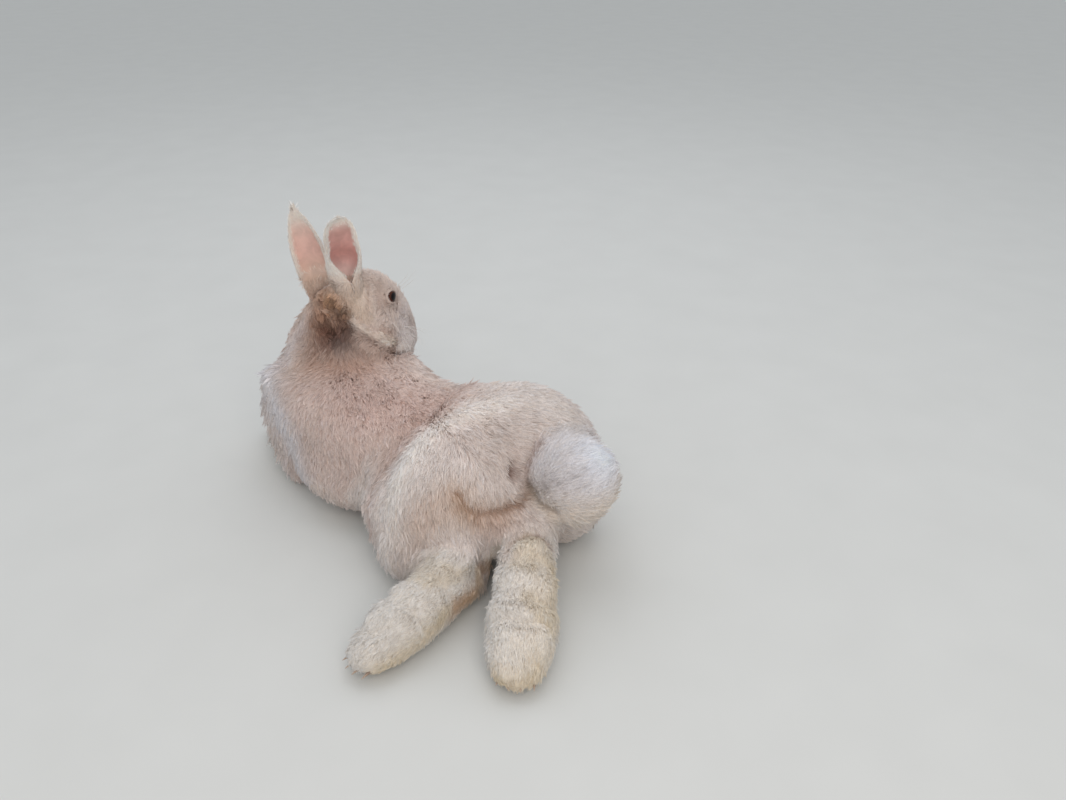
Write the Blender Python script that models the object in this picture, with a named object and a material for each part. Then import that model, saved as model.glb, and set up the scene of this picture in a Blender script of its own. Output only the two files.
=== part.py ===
"""A life-size, still model of a young domestic rabbit that lies stretched out on the floor.

Units are metres. +Z is up and the floor is Z = 0. +X is the way the chest points and +Y is the rabbit's left.
The chest lies square on the floor, the hips are rolled onto the right side, both hind legs are thrown out to
the left with their soles up, and the head is raised and turned to the right.

The flesh is one smooth body, out to the tips of the coat. It is grown from tubes and rounded lumps, and is
then parted with thin cuts into head, neck, trunk, tail, thighs, feet and forelegs. Ears, eyes and claws are
solids of their own.
"""

import math

import bmesh
import bpy
import numpy as np
from mathutils import Euler, Matrix, Vector

GAP = 0.0003  # clearance between neighbouring solids
VOXEL = 0.0025  # grid on which the tubes and lumps grow together
TORSO_SMOOTHING = 22  # rounds of smoothing over the joins of trunk, neck and hips
SMOOTHING = 7  # and over the joins of the whole body
FLESH_TRIANGLES = 3800

# Driving sizes of the animal, out to the tips of its coat.
HEAD_LENGTH = 0.103
EAR_HALF_WIDTHS = {"ear_left": 0.0140, "ear_right": 0.0130}
EAR_THICKNESS = 0.0042
TAIL_RADIUS = 0.0310
EYE_RADIUS = 0.0074
CLAW_LENGTH = 0.009
CLAW_RADIUS = 0.0013

# The head's own frame: +X to the nose, +Y to its left, +Z out of its crown.
HEAD_CENTRE = Vector((0.1105, -0.0245, 0.1320))
HEAD_TURN = math.radians(-73)  # to the right of the chest
HEAD_NOD = math.radians(30)  # nose down
HEAD = (
    Matrix.Translation(HEAD_CENTRE)
    @ Matrix.Rotation(HEAD_TURN, 4, "Z")
    @ Matrix.Rotation(HEAD_NOD, 4, "Y")
)
EAR_AXES = {  # foot and tip of each ear
    "ear_left": ((0.1122, 0.0125, 0.1360), (0.1240, 0.0252, 0.2222)),
    "ear_right": ((0.0945, -0.0010, 0.1400), (0.0884, 0.0090, 0.2215)),
}
EYE_PLACE = Vector((-0.0080, 0.0166, 0.0134))
TAIL_CENTRE = Vector((-0.1085, -0.0515, 0.0745))

FAWN, CREAM, WHITE = (0.60, 0.43, 0.31), (0.74, 0.62, 0.48), (0.84, 0.81, 0.77)
SOLE, PINK, DARK, HORN = (0.66, 0.52, 0.32), (0.72, 0.40, 0.36), (0.02, 0.012, 0.01), (0.35, 0.27, 0.22)


# ---------------------------------------------------------------- helpers


def clear_scene():
    for obj in list(bpy.data.objects):
        bpy.data.objects.remove(obj)


def add_object(name, mesh):
    obj = bpy.data.objects.new(name, mesh)
    bpy.context.scene.collection.objects.link(obj)
    return obj


def mesh_object(name, points, faces):
    mesh = bpy.data.meshes.new(name)
    mesh.from_pydata([tuple(p) for p in points], [], [tuple(f) for f in faces])
    return add_object(name, mesh)


def shape_object(name, shape):
    """The object made from a bmesh, with its faces turned outward."""
    bmesh.ops.recalc_face_normals(shape, faces=shape.faces)
    mesh = bpy.data.meshes.new(name)
    shape.to_mesh(mesh)
    shape.free()
    return add_object(name, mesh)


def paint(obj, colour, roughness):
    """Gives the object a material of its own."""
    made = bpy.data.materials.new(obj.name + "_finish")
    made.use_nodes = True
    shader = made.node_tree.nodes["Principled BSDF"]
    shader.inputs["Base Color"].default_value = (*colour, 1.0)
    shader.inputs["Roughness"].default_value = roughness
    made.diffuse_color = (*colour, 1.0)
    obj.data.materials.clear()
    obj.data.materials.append(made)


def smooth_path(stations, steps):
    """Catmull-Rom spline through the rows of stations, with this many steps for each span."""
    rows = np.array(stations, float)
    ends = np.vstack([2 * rows[0] - rows[1], rows, 2 * rows[-1] - rows[-2]])
    made = []
    for a, b, c, d in zip(ends, ends[1:], ends[2:], ends[3:]):
        for t in np.arange(steps) / steps:
            bend = (2 * a - 5 * b + 4 * c - d) * t**2 + (3 * b - a - 3 * c + d) * t**3
            made.append(0.5 * (2 * b + (c - a) * t + bend))
    made.append(rows[-1])
    return np.array(made)


def tube(stations, frame=Matrix.Identity(4), sides=28, steps=5, side_to=(0, 0, 1), squareness=2.0):
    """A closed tube through stations of x, y, z, half width and half height.

    Each ring is an ellipse square to the path, or a fuller oval when squareness is above 2. Its width runs
    square to side_to, and both ends are domed.
    """
    path = smooth_path(stations, steps)
    centres, sizes = path[:, :3], np.maximum(path[:, 3:5], 0.0003)
    along = np.gradient(centres, axis=0)
    along /= np.linalg.norm(along, axis=1)[:, None]
    across = np.cross(np.array(side_to, float), along)
    across /= np.linalg.norm(across, axis=1)[:, None]
    upward = np.cross(along, across)
    dome = np.radians([75, 50, 25])
    caps = []
    for row, sign, angles in ((0, -1, dome), (len(path) - 1, 1, dome[::-1])):
        out, frame_here = along[row] * sign * sizes[row].mean() * 0.75, (across[row], upward[row])
        caps.append([(centres[row] + out * math.sin(a), sizes[row] * math.cos(a), *frame_here) for a in angles])
    rows = caps[0] + list(zip(centres, sizes, across, upward)) + caps[1]
    turn = 2 * np.pi * np.arange(sides) / sides
    full = (np.abs(np.cos(turn)) ** squareness + np.abs(np.sin(turn)) ** squareness) ** (-1 / squareness)
    wide, high = full * np.cos(turn), full * np.sin(turn)
    points = np.vstack([c + np.outer(wide * s[0], a) + np.outer(high * s[1], u) for c, s, a, u in rows])
    ring = [(i, (i + 1) % sides) for i in range(sides)]
    last = (len(rows) - 1) * sides
    faces = [(r + i, r + j, r + sides + j, r + sides + i) for r in range(0, last, sides) for i, j in ring]
    faces += [tuple(range(sides))[::-1], tuple(range(last, last + sides))]
    obj = mesh_object("tube", points, faces)
    obj.data.transform(frame)
    return obj


def lump(centre, radii, turn=(0, 0, 0), frame=Matrix.Identity(4), name="lump", fineness=(28, 18)):
    """A rounded lump: an ellipsoid with this centre, these half sizes and this turn in degrees."""
    shape = bmesh.new()
    bmesh.ops.create_uvsphere(shape, u_segments=fineness[0], v_segments=fineness[1], radius=1.0)
    place = Matrix.Translation(centre) @ Euler([math.radians(a) for a in turn]).to_matrix().to_4x4()
    bmesh.ops.transform(shape, matrix=frame @ place @ Matrix.Diagonal((*radii, 1.0)), verts=shape.verts)
    return shape_object(name, shape)


def plug(point, facing, radii, depth, extra=0.0):
    """An oval cutter. It starts with a flat end at point and runs along facing; extra grows it all round."""
    shape = bmesh.new()
    bmesh.ops.create_cone(shape, cap_ends=True, segments=36, radius1=1.0, radius2=1.0, depth=1.0)
    turn = Vector(facing).to_track_quat("Z", "Y").to_matrix().to_4x4()
    size = Matrix.Diagonal((radii[0] + extra, radii[1] + extra, depth + 2 * extra, 1.0))
    place = Matrix.Translation(point) @ turn @ Matrix.Translation((0, 0, depth / 2))
    bmesh.ops.transform(shape, matrix=place @ size, verts=shape.verts)
    return cutter(shape_object("plug", shape))


def cutter(obj):
    obj.hide_render = True
    obj.display_type = "WIRE"
    return obj


def joined(objects, name):
    """One object that holds the meshes of all these, which are removed."""
    shape = bmesh.new()
    for obj in objects:
        shape.from_mesh(obj.data)
        bpy.data.objects.remove(obj)
    return shape_object(name, shape)


def settle(obj):
    """Turns the object's modifiers into its own mesh."""
    graph = bpy.context.evaluated_depsgraph_get()
    made = bpy.data.meshes.new_from_object(obj.evaluated_get(graph))
    obj.modifiers.clear()
    obj.data = made
    return obj


def modify(obj, kind, **settings):
    modifier = obj.modifiers.new(kind.lower(), kind)
    for key, value in settings.items():
        setattr(modifier, key, value)


def combined(obj, other, operation):
    """Settles the object after an exact Boolean with the other."""
    modify(obj, "BOOLEAN", operation=operation, object=other, solver="EXACT")
    return settle(obj)


def largest_piece(obj):
    """Keeps only the largest of the shells that a cut has left."""
    shape = bmesh.new()
    shape.from_mesh(obj.data)
    left, shells = set(shape.verts), []
    while left:
        front = [left.pop()]
        shell = set(front)
        while front:
            for edge in front.pop().link_edges:
                for vert in edge.verts:
                    if vert in left:
                        left.discard(vert)
                        shell.add(vert)
                        front.append(vert)
        shells.append(shell)
    shells.sort(key=len)
    bmesh.ops.delete(shape, geom=[v for shell in shells[:-1] for v in shell], context="VERTS")
    shape.to_mesh(obj.data)
    shape.free()
    return obj


def part_off(body, name, point, facing, radii, depth):
    """Cuts the part of body inside the plug away as its own object, with a thin gap left between the two."""
    piece = add_object(name, body.data.copy())
    inside = plug(point, facing, radii, depth)
    outside = plug(point, facing, radii, depth, extra=GAP)
    combined(piece, inside, "INTERSECT")
    combined(body, outside, "DIFFERENCE")
    for used in (inside, outside):
        bpy.data.objects.remove(used)
    largest_piece(body)
    return largest_piece(piece)


# ---------------------------------------------------------------- the flesh


def trunk_shapes():
    """Chest, ribs and loin as one tube along the spine, with the shoulders, the belly and the withers."""
    spine = [
        (0.150, 0.006, 0.046, 0.046, 0.044),
        (0.128, 0.006, 0.050, 0.060, 0.053),
        (0.095, 0.004, 0.051, 0.062, 0.055),
        (0.055, 0.000, 0.049, 0.058, 0.053),
        (0.015, -0.014, 0.048, 0.054, 0.050),
        (-0.025, -0.032, 0.054, 0.055, 0.056),
        (-0.058, -0.046, 0.058, 0.052, 0.055),
    ]
    return [
        tube(spine, squareness=2.5),
        lump((0.066, 0.014, 0.034), (0.066, 0.056, 0.040)),
        lump((0.132, 0.0405, 0.050), (0.035, 0.0275, 0.046), turn=(0, 12, 0)),
        lump((0.140, 0.050, 0.077), (0.019, 0.0155, 0.017)),
        lump((0.126, -0.034, 0.048), (0.036, 0.030, 0.046), turn=(0, 12, 0)),
        lump((0.078, -0.020, 0.076), (0.040, 0.031, 0.030)),
        lump((0.142, 0.004, 0.066), (0.034, 0.040, 0.034)),
    ]


def hip_shapes():
    """The rump along the turned hips, the left thigh on top and the right thigh under it."""
    return [
        lump((-0.050, -0.049, 0.0595), (0.063, 0.058, 0.0585), turn=(0, 0, 20)),
        lump((-0.042, -0.006, 0.052), (0.052, 0.062, 0.052), turn=(-26, 0, 12)),
        lump((-0.020, 0.022, 0.034), (0.038, 0.040, 0.038), turn=(0, 0, -20)),
        lump((-0.050, 0.028, 0.022), (0.046, 0.038, 0.030), turn=(0, 0, 8)),
        lump((-0.056, -0.066, 0.027), (0.050, 0.037, 0.036), turn=(0, 0, 12)),
    ]


def neck_shapes():
    path = [
        (0.130, 0.004, 0.060, 0.048, 0.048),
        (0.126, 0.002, 0.086, 0.042, 0.043),
        (0.119, -0.004, 0.108, 0.035, 0.036),
        (0.112, -0.012, 0.128, 0.029, 0.030),
    ]
    nape = [
        (0.128, 0.014, 0.090, 0.034, 0.034),
        (0.122, 0.013, 0.118, 0.026, 0.027),
        (0.118, 0.014, 0.138, 0.0175, 0.0180),
    ]
    return [tube(path, side_to=(1, 0, 0)), tube(nape, side_to=(1, 0, 0))]


def head_shapes():
    """The head in its own frame: a tube from the back of the skull to the nose, with cheeks, muzzle and brows."""
    skull = [
        (-0.405, 0, 0.0035, 0.0140, 0.0160),
        (-0.330, 0, 0.0028, 0.0205, 0.0240),
        (-0.180, 0, -0.0004, 0.0246, 0.0316),
        (0.020, 0, -0.0038, 0.0226, 0.0320),
        (0.150, 0, -0.0066, 0.0198, 0.0290),
        (0.280, 0, -0.0094, 0.0182, 0.0240),
        (0.385, 0, -0.0112, 0.0164, 0.0188),
    ]
    shapes = [tube([(x * HEAD_LENGTH, *rest) for x, *rest in skull], frame=HEAD)]
    for side in (-1, 1):
        shapes += [
            lump((-0.010, side * 0.0140, -0.0160), (0.0260, 0.0165, 0.0205), frame=HEAD),
            lump((0.034, side * 0.0110, -0.0155), (0.0160, 0.0120, 0.0118), frame=HEAD),
            lump((-0.007, side * 0.0112, 0.0165), (0.0150, 0.0085, 0.0080), frame=HEAD),
        ]
    shapes.append(lump((0.028, 0, -0.0285), (0.0150, 0.0110, 0.0080), frame=HEAD))
    for base, tip in EAR_AXES.values():
        foot = [Vector(base).lerp(Vector(tip), s) for s in (-0.02, 0.10, 0.20)]
        shapes.append(tube([(*p, r, r) for p, r in zip(foot, (0.0150, 0.0125, 0.0085))], side_to=(1, 0, 0)))
    return shapes


def hind_leg_shapes():
    left = [
        (-0.052, 0.010, 0.028, 0.024, 0.028),
        (-0.081, 0.024, 0.024, 0.0215, 0.0255),
        (-0.0935, 0.050, 0.0200, 0.0185, 0.0220),
        (-0.1010, 0.080, 0.017, 0.0205, 0.0190),
        (-0.1055, 0.103, 0.0135, 0.0185, 0.0150),
        (-0.1078, 0.1160, 0.0108, 0.0145, 0.0120),
    ]
    right = [
        (-0.078, -0.032, 0.036, 0.024, 0.031),
        (-0.106, -0.014, 0.032, 0.0195, 0.0265),
        (-0.129, 0.006, 0.025, 0.0196, 0.0245),
        (-0.152, 0.0255, 0.020, 0.0226, 0.0225),
        (-0.168, 0.041, 0.015, 0.0215, 0.0175),
        (-0.176, 0.049, 0.011, 0.0165, 0.0132),
    ]
    return [tube(left, squareness=2.3), tube(right, squareness=2.3)]


def foreleg_shapes():
    """Both forearms lie forward on the floor from the elbows beside the chest."""
    shapes = []
    for side, spread in ((1, 0.044), (-1, -0.038)):
        stations = [
            (0.108, spread + side * 0.005, 0.024, 0.0175, 0.0255),
            (0.140, spread + side * 0.002, 0.018, 0.0165, 0.020),
            (0.172, spread - side * 0.006, 0.012, 0.0140, 0.0145),
            (0.190, spread - side * 0.010, 0.0105, 0.0150, 0.0128),
        ]
        shapes.append(tube(stations, squareness=2.3))
    return shapes


def tail_shapes():
    root = TAIL_CENTRE + Vector((0.020, -0.002, -0.002))
    return [
        lump(TAIL_CENTRE, (TAIL_RADIUS, TAIL_RADIUS * 1.02, TAIL_RADIUS)),
        lump(root, (0.026, 0.024, 0.023)),
    ]


def grow(shapes, name, rounds):
    """Grows overlapping closed shapes together into one surface and smooths it."""
    body = joined(shapes, name)
    modify(body, "REMESH", mode="VOXEL", voxel_size=VOXEL, use_smooth_shade=True)
    modify(body, "SMOOTH", factor=0.5, iterations=rounds)
    return settle(body)


def grown_body():
    """All the flesh as one closed surface, cut flat where it lies on the floor."""
    torso = grow(trunk_shapes() + hip_shapes() + neck_shapes(), "torso", TORSO_SMOOTHING)
    ends = head_shapes() + hind_leg_shapes() + foreleg_shapes() + tail_shapes()
    body = grow([torso] + ends, "trunk", SMOOTHING)
    triangles = sum(len(p.vertices) - 2 for p in body.data.polygons)
    modify(body, "DECIMATE", ratio=FLESH_TRIANGLES / triangles)
    settle(body)
    floor = plug((0, 0, 0), (0, 0, -1), (1, 1), 0.2)
    combined(body, floor, "DIFFERENCE")
    bpy.data.objects.remove(floor)
    return largest_piece(body)


def part_flesh(trunk):
    """Parts the flesh into its nodes, from the head back to the feet."""
    head_under = HEAD @ Vector((-0.002, 0, -0.0300))
    crown = HEAD.to_3x3() @ Vector((-0.22, 0, 1))
    cuts = [
        ("head", head_under, crown, (0.036, 0.064), 0.090),
        ("neck", (0.126, -0.002, 0.092), (0.46, 0, 0.89), (0.046, 0.054), 0.080),
        ("tail", TAIL_CENTRE + Vector((0.018, 0, 0)), (-1, 0.02, 0.05), (0.036, 0.036), 0.080),
        ("hind_foot_left", (-0.094, 0.047, 0.020), (-0.34, 0.94, 0), (0.031, 0.034), 0.120),
        ("hind_foot_right", (-0.112, -0.008, 0.032), (-0.72, 0.67, -0.18), (0.034, 0.034), 0.110),
        ("thigh_left", (-0.056, 0.002, 0.036), (-0.10, 1, 0.10), (0.064, 0.056), 0.090),
        ("thigh_right", (-0.060, -0.064, 0.026), (0, -1, 0.05), (0.064, 0.042), 0.080),
        ("foreleg_left", (0.146, 0.044, 0.018), (1, -0.14, -0.12), (0.021, 0.021), 0.070),
        ("foreleg_right", (0.146, -0.038, 0.018), (1, 0.14, -0.12), (0.021, 0.021), 0.070),
    ]
    return {name: part_off(trunk, name, *how) for name, *how in cuts} | {"trunk": trunk}


# ---------------------------------------------------------------- ears, eyes and claws


def ear(name, base, tip, opening, half_width, widest, blunt):
    """A leaf-shaped ear, rolled into a trough that opens towards opening.

    It is widest this share of the way up, and its foot is rolled almost shut. A larger blunt rounds the tip.
    """
    rows, columns = 15, 9
    base, tip = np.array(base, float), np.array(tip, float)
    along = tip - base
    length = np.linalg.norm(along)
    along /= length
    out = np.array(opening, float)
    out -= along * (out @ along)
    out /= np.linalg.norm(out)
    side = np.cross(along, out)
    s = (1 - (1 - np.linspace(0, 1, rows)) ** 1.35)[:, None]
    t = np.linspace(-1, 1, columns)[None, :]
    rise = 0.62 + 0.38 * np.sin(np.pi / 2 * np.clip(s / widest, 0, 1))
    fall = 1 - np.clip((s - widest) / (1 - widest), 0, 1) ** blunt
    chord = half_width * rise * np.maximum(fall, 0.04) ** (1 / blunt)
    curl = np.radians(135 - 85 * np.clip(s / 0.55, 0, 1) - 12 * s)
    radius = chord / np.where(curl > np.pi / 2, 1.0, np.sin(curl))
    depth = radius * (1 - np.cos(curl * t)) - 0.5 * radius * (1 - np.cos(curl))
    centre = (
        base
        + s[..., None] * length * along
        + (radius * np.sin(curl * t))[..., None] * side
        + (depth - 0.05 * length * np.sin(np.pi * s))[..., None] * out
    )
    normal = np.cos(curl * t)[..., None] * out - np.sin(curl * t)[..., None] * side
    half_thick = (EAR_THICKNESS * (1 - 0.55 * t**2) * (1.2 - 0.35 * s) / 2)[..., None]
    inner, outer = centre + normal * half_thick, centre - normal * half_thick
    points = np.vstack([inner.reshape(-1, 3), outer.reshape(-1, 3)])
    half = rows * columns
    faces = []
    for i in (r * columns + c for r in range(rows - 1) for c in range(columns - 1)):
        faces.append((i, i + 1, i + columns + 1, i + columns))
        faces.append((half + i, half + i + columns, half + i + columns + 1, half + i + 1))
    rim = [c for c in range(columns)]
    rim += [r * columns + columns - 1 for r in range(1, rows)]
    rim += [(rows - 1) * columns + c for c in range(columns - 2, -1, -1)]
    rim += [r * columns for r in range(rows - 2, 0, -1)]
    faces += [(j, i, half + i, half + j) for i, j in zip(rim, rim[1:] + rim[:1])]
    return joined([mesh_object(name, points, faces)], name)


def ears(head):
    """Both ears, cut off just outside the head."""
    skull = add_object("skull", head.data.copy())
    modify(skull, "DISPLACE", strength=GAP * 1.5, mid_level=0.0)
    cutter(settle(skull))
    made = {
        name: ear(name, *EAR_AXES[name], opening, EAR_HALF_WIDTHS[name], widest, blunt)
        for name, opening, widest, blunt in (
            ("ear_left", (-0.64, 0.67, 0), 0.62, 1.5),
            ("ear_right", (-0.97, 0.12, 0), 0.78, 2.3),
        )
    }
    for obj in made.values():
        combined(obj, skull, "DIFFERENCE")
        largest_piece(obj)
    bpy.data.objects.remove(skull)
    return made


def eyes(head):
    """Two eyeballs, each in a close socket in the head."""
    made = {}
    for name, side in (("eye_left", 1), ("eye_right", -1)):
        place = HEAD @ Matrix.Translation((EYE_PLACE.x, side * EYE_PLACE.y, EYE_PLACE.z))
        turn = (90, 0, 0)
        socket = cutter(lump((0, 0, 0), [EYE_RADIUS + GAP] * 3, turn, place, "socket", (14, 9)))
        combined(head, socket, "DIFFERENCE")
        bpy.data.objects.remove(socket)
        made[name] = lump((0, 0, 0), [EYE_RADIUS] * 3, turn, place, name, (14, 9))
    return made


def claw(name, root, towards, extra=0.0):
    """A short horn cone that starts at root and runs towards its point; extra grows it all round."""
    shape = bmesh.new()
    bmesh.ops.create_cone(shape, cap_ends=True, segments=6, radius1=1.0, radius2=0.25, depth=1.0)
    turn = Vector(towards).to_track_quat("Z", "Y").to_matrix().to_4x4()
    size = Matrix.Diagonal((CLAW_RADIUS * 0.8 + extra, CLAW_RADIUS + extra, CLAW_LENGTH + 2 * extra, 1.0))
    place = Matrix.Translation(root) @ turn @ Matrix.Translation((0, 0, CLAW_LENGTH / 2))
    bmesh.ops.transform(shape, matrix=place @ size, verts=shape.verts)
    return shape_object(name, shape)


def claws(nodes):
    """Four claws on every foot, each in a close pocket."""
    feet = [
        ("hind_foot_left", (-0.1088, 0.1195, 0.0095), (-0.09, 1, 0.10), 0.0062),
        ("hind_foot_right", (-0.1790, 0.0508, 0.0095), (-0.66, 0.75, 0.10), 0.0070),
        ("foreleg_left", (0.1945, 0.0335, 0.0095), (1, -0.20, -0.25), 0.0062),
        ("foreleg_right", (0.1945, -0.0275, 0.0095), (1, 0.20, -0.25), 0.0062),
    ]
    made = {}
    for foot, middle, towards, spacing in feet:
        towards = Vector(towards).normalized()
        across = towards.cross((0, 0, 1)).normalized()
        for number, step in enumerate((-1.5, -0.5, 0.5, 1.5), 1):
            root = Vector(middle) + across * (step * spacing) - towards * (0.0012 * step * step)
            aim = towards + across * (0.10 * step)
            pocket = cutter(claw("pocket", root, aim, GAP))
            combined(nodes[foot], pocket, "DIFFERENCE")
            bpy.data.objects.remove(pocket)
            name = foot.replace("hind_foot", "hind_claw").replace("foreleg", "fore_claw") + "_" + str(number)
            made[name] = claw(name, root, aim)
    return made


# ---------------------------------------------------------------- the model


def centre_on_origin(objects):
    """Slides everything along the floor until the middle of the whole model's box is over the origin."""
    corners = np.vstack([[v.co for v in obj.data.vertices] for obj in objects])
    middle = (corners.min(axis=0) + corners.max(axis=0)) / 2
    for obj in objects:
        obj.data.transform(Matrix.Translation((-middle[0], -middle[1], 0)))


def main():
    clear_scene()
    nodes = part_flesh(grown_body())
    nodes |= ears(nodes["head"])
    nodes |= eyes(nodes["head"])
    nodes |= claws(nodes)
    colours = {"trunk": FAWN, "neck": FAWN, "tail": WHITE, "ear": PINK, "eye": DARK, "hind_foot": SOLE}
    colours |= {"hind_claw": HORN, "fore_claw": HORN}
    for name, obj in nodes.items():
        colour = next((value for start, value in colours.items() if name.startswith(start)), CREAM)
        paint(obj, colour, 0.12 if name.startswith("eye") else 0.8)
    centre_on_origin(nodes.values())


main()
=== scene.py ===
"""Looks of the still, life-size model of a young domestic rabbit that lies stretched out on the floor.

Metres, Z up, floor at Z = 0, +X the way the chest points, +Y the rabbit's left. One skin lies inside the
packed flesh by the depth of the coat, with the ears and the eyelids grown onto it. Over it lies the coat,
in thin pointed tufts that follow the lie of the hair. Eyes, claws and whiskers are pieces of their own.
"""

import itertools
import math

import bmesh
import bpy
import numpy as np
from mathutils import Matrix, Vector


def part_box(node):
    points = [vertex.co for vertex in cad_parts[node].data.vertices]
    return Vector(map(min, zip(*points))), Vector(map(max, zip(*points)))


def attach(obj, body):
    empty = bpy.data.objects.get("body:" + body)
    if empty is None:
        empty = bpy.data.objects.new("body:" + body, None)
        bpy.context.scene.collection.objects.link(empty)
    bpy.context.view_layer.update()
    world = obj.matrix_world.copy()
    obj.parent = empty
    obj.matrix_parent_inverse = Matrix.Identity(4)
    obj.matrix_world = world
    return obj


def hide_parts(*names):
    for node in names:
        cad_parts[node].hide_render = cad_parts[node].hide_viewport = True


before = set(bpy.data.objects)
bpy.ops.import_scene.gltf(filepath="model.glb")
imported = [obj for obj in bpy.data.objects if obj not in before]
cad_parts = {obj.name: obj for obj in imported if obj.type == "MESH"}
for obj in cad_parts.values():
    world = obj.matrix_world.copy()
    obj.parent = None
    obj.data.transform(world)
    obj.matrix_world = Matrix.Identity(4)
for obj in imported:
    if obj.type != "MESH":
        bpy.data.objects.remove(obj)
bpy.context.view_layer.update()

SEED = 20
MM = 0.001
SKIN_GRID = 1.71 * MM  # size of the skin's faces
FLOOR_CLEARANCE = 0.25 * MM  # lowest hair above the floor
TUFTS = 368000  # in the whole coat
PIECE_TUFTS = 48000  # at most, in one piece of the coat
EYE_RADIUS = 7.4 * MM
SWIRLS = ((26 * MM, 3, 0.50), (9 * MM, 4, 0.75))  # size, seed and strength of the swirls in a ruffled coat

FLESH = ["trunk", "head", "neck", "tail", "thigh_left", "thigh_right"]
FLESH += ["hind_foot_left", "hind_foot_right", "foreleg_left", "foreleg_right"]
EARS = ["ear_left", "ear_right"]
EYES = {"eye_left": 1, "eye_right": -1}  # and the side of the head, 1 for the left


# ---- places on the rabbit

# The head's own frame has +X to the nose, +Y to its left and +Z out of its crown. The eyes of the packed
# model say where it sits.
EYE_IN_HEAD = np.array((-0.0080, 0.0166, 0.0134))
HEAD_TURN = Matrix.Rotation(math.radians(-73), 3, "Z")
HEAD_NOD = Matrix.Rotation(math.radians(30), 3, "Y")
HEAD_AXES = np.array(HEAD_TURN @ HEAD_NOD)
EYE_CENTRES = {name: np.mean(np.array(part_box(name)), axis=0) for name in EYES}
HEAD_CENTRE = np.mean(list(EYE_CENTRES.values()), axis=0) - HEAD_AXES @ (EYE_IN_HEAD * (1, 0, 1))
# Places below are given from a point on the floor under the loins, which this puts in the model's frame.
DATUM = HEAD_CENTRE - (0.1105, -0.0245, 0.1320)


def at(*place):
    """A place given in mm from the datum, in the model's frame."""
    return np.array(place, float) * MM + DATUM


def trail(*places):
    """A path through places given in mm from the datum."""
    return [at(*place) for place in places]


def from_head(points):
    """Points of the head's own frame in the model's frame."""
    return points @ HEAD_AXES.T + HEAD_CENTRE


def head_frame(points):
    """Points of the model in the head's own frame."""
    return (points - HEAD_CENTRE) @ HEAD_AXES


def in_head(*place):
    """A place given in mm in the head's own frame, in the model's frame."""
    return from_head(np.array(place, float) * MM)


# ---- arithmetic on whole arrays


def unit(rows):
    """Rows scaled to length one."""
    return rows / np.maximum(np.linalg.norm(rows, axis=-1, keepdims=True), 1e-9)


def turns(count):
    """Even turns round a circle."""
    return 2 * np.pi * np.arange(count) / count


def step(low, high, value):
    """0 below low, 1 above high, and an S-shaped rise between."""
    t = np.clip((value - low) / (high - low), 0, 1)
    return t * t * (3 - 2 * t)


def mix(a, b, share):
    return a + (b - a) * share


def along_path(points, path):
    """Distance of each point from a path of straight spans, and where along it, 0 to 1, it is nearest."""
    path = np.array(path, float)
    spans = len(path) - 1
    best, place = np.full(len(points), np.inf), np.zeros(len(points))
    for number, (a, b) in enumerate(zip(path, path[1:])):
        t = np.clip((points - a) @ (b - a) / max((b - a) @ (b - a), 1e-12), 0, 1)
        away = np.linalg.norm(points - a - t[:, None] * (b - a), axis=1)
        nearer = away < best
        best, place = np.where(nearer, away, best), np.where(nearer, (number + t) / spans, place)
    return best, place


def bell(away, radius):
    """1 at distance 0, falling away as a bell curve of this radius."""
    return np.exp(-((away / radius) ** 2))


def near(points, path, radius):
    """1 on a path, falling away from it as a bell curve."""
    return bell(along_path(points, path)[0], radius)


def scatter(cells, seed):
    """A fixed number from 0 to 1 for each whole-number cell, as if drawn at random."""
    c = cells.astype(np.int64)
    n = c[..., 0] * 73856093 ^ c[..., 1] * 19349663 ^ c[..., 2] * 83492791 ^ (seed * 9176941 + 1013)
    n = (n ^ (n >> 13)) & 0x7FFFFFFF
    n = (n * 1103515245 + 12345) & 0x7FFFFFFF
    n = ((n ^ (n >> 15)) * 69069 + 1) & 0x7FFFFFFF
    return ((n >> 7) & 0xFFFFF) / 0xFFFFF


def drift(points, size, seed, width=1):
    """Smooth noise from -1 to 1, with this many values for each point.

    Numbers scattered on a cubic lattice of this size are blended between its corners with an S curve.
    """
    where = points / size + 0.37 * seed
    cell = np.floor(where)
    f = where - cell
    f = f * f * (3 - 2 * f)
    made = np.zeros((len(points), width))
    for corner in itertools.product((0, 1), repeat=3):
        share = np.prod(np.where(corner, f, 1 - f), axis=1)
        for k in range(width):
            made[:, k] += share * scatter(cell + corner, seed * 7 + k)
    return 2 * made - 1


def wavered(points, size, seed, amount):
    """Points moved by smooth noise of this size, by up to this amount."""
    return points + drift(points, size, seed, 3) * amount


def locks(points, size, seed):
    """A number for the lock that each point belongs to.

    Lock centres are scattered one to a cube of this size, and a point belongs to the nearest.
    """
    cell = np.floor(points / size)
    best, lock = np.full(len(points), np.inf), np.zeros(len(points), np.int64)
    for corner in itertools.product((-1, 0, 1), repeat=3):
        c = cell + corner
        centre = (c + np.stack([scatter(c, seed + k) for k in range(3)], axis=1)) * size
        away = ((points - centre) ** 2).sum(axis=1)
        nearer = away < best
        number = (c[:, 0] + 512) * 1048576 + (c[:, 1] + 512) * 1024 + c[:, 2] + 512
        best, lock = np.where(nearer, away, best), np.where(nearer, number.astype(np.int64), lock)
    return np.unique(lock, return_inverse=True)[1].reshape(-1)


def gathered(places, group, keep):
    """Places drawn to the middle of their group, where this share of their distance from it is kept."""
    sums = np.stack([np.bincount(group, places[:, k]) for k in range(3)], axis=1)
    middle = (sums / np.bincount(group)[:, None])[group]
    return middle + (places - middle) * keep


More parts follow.
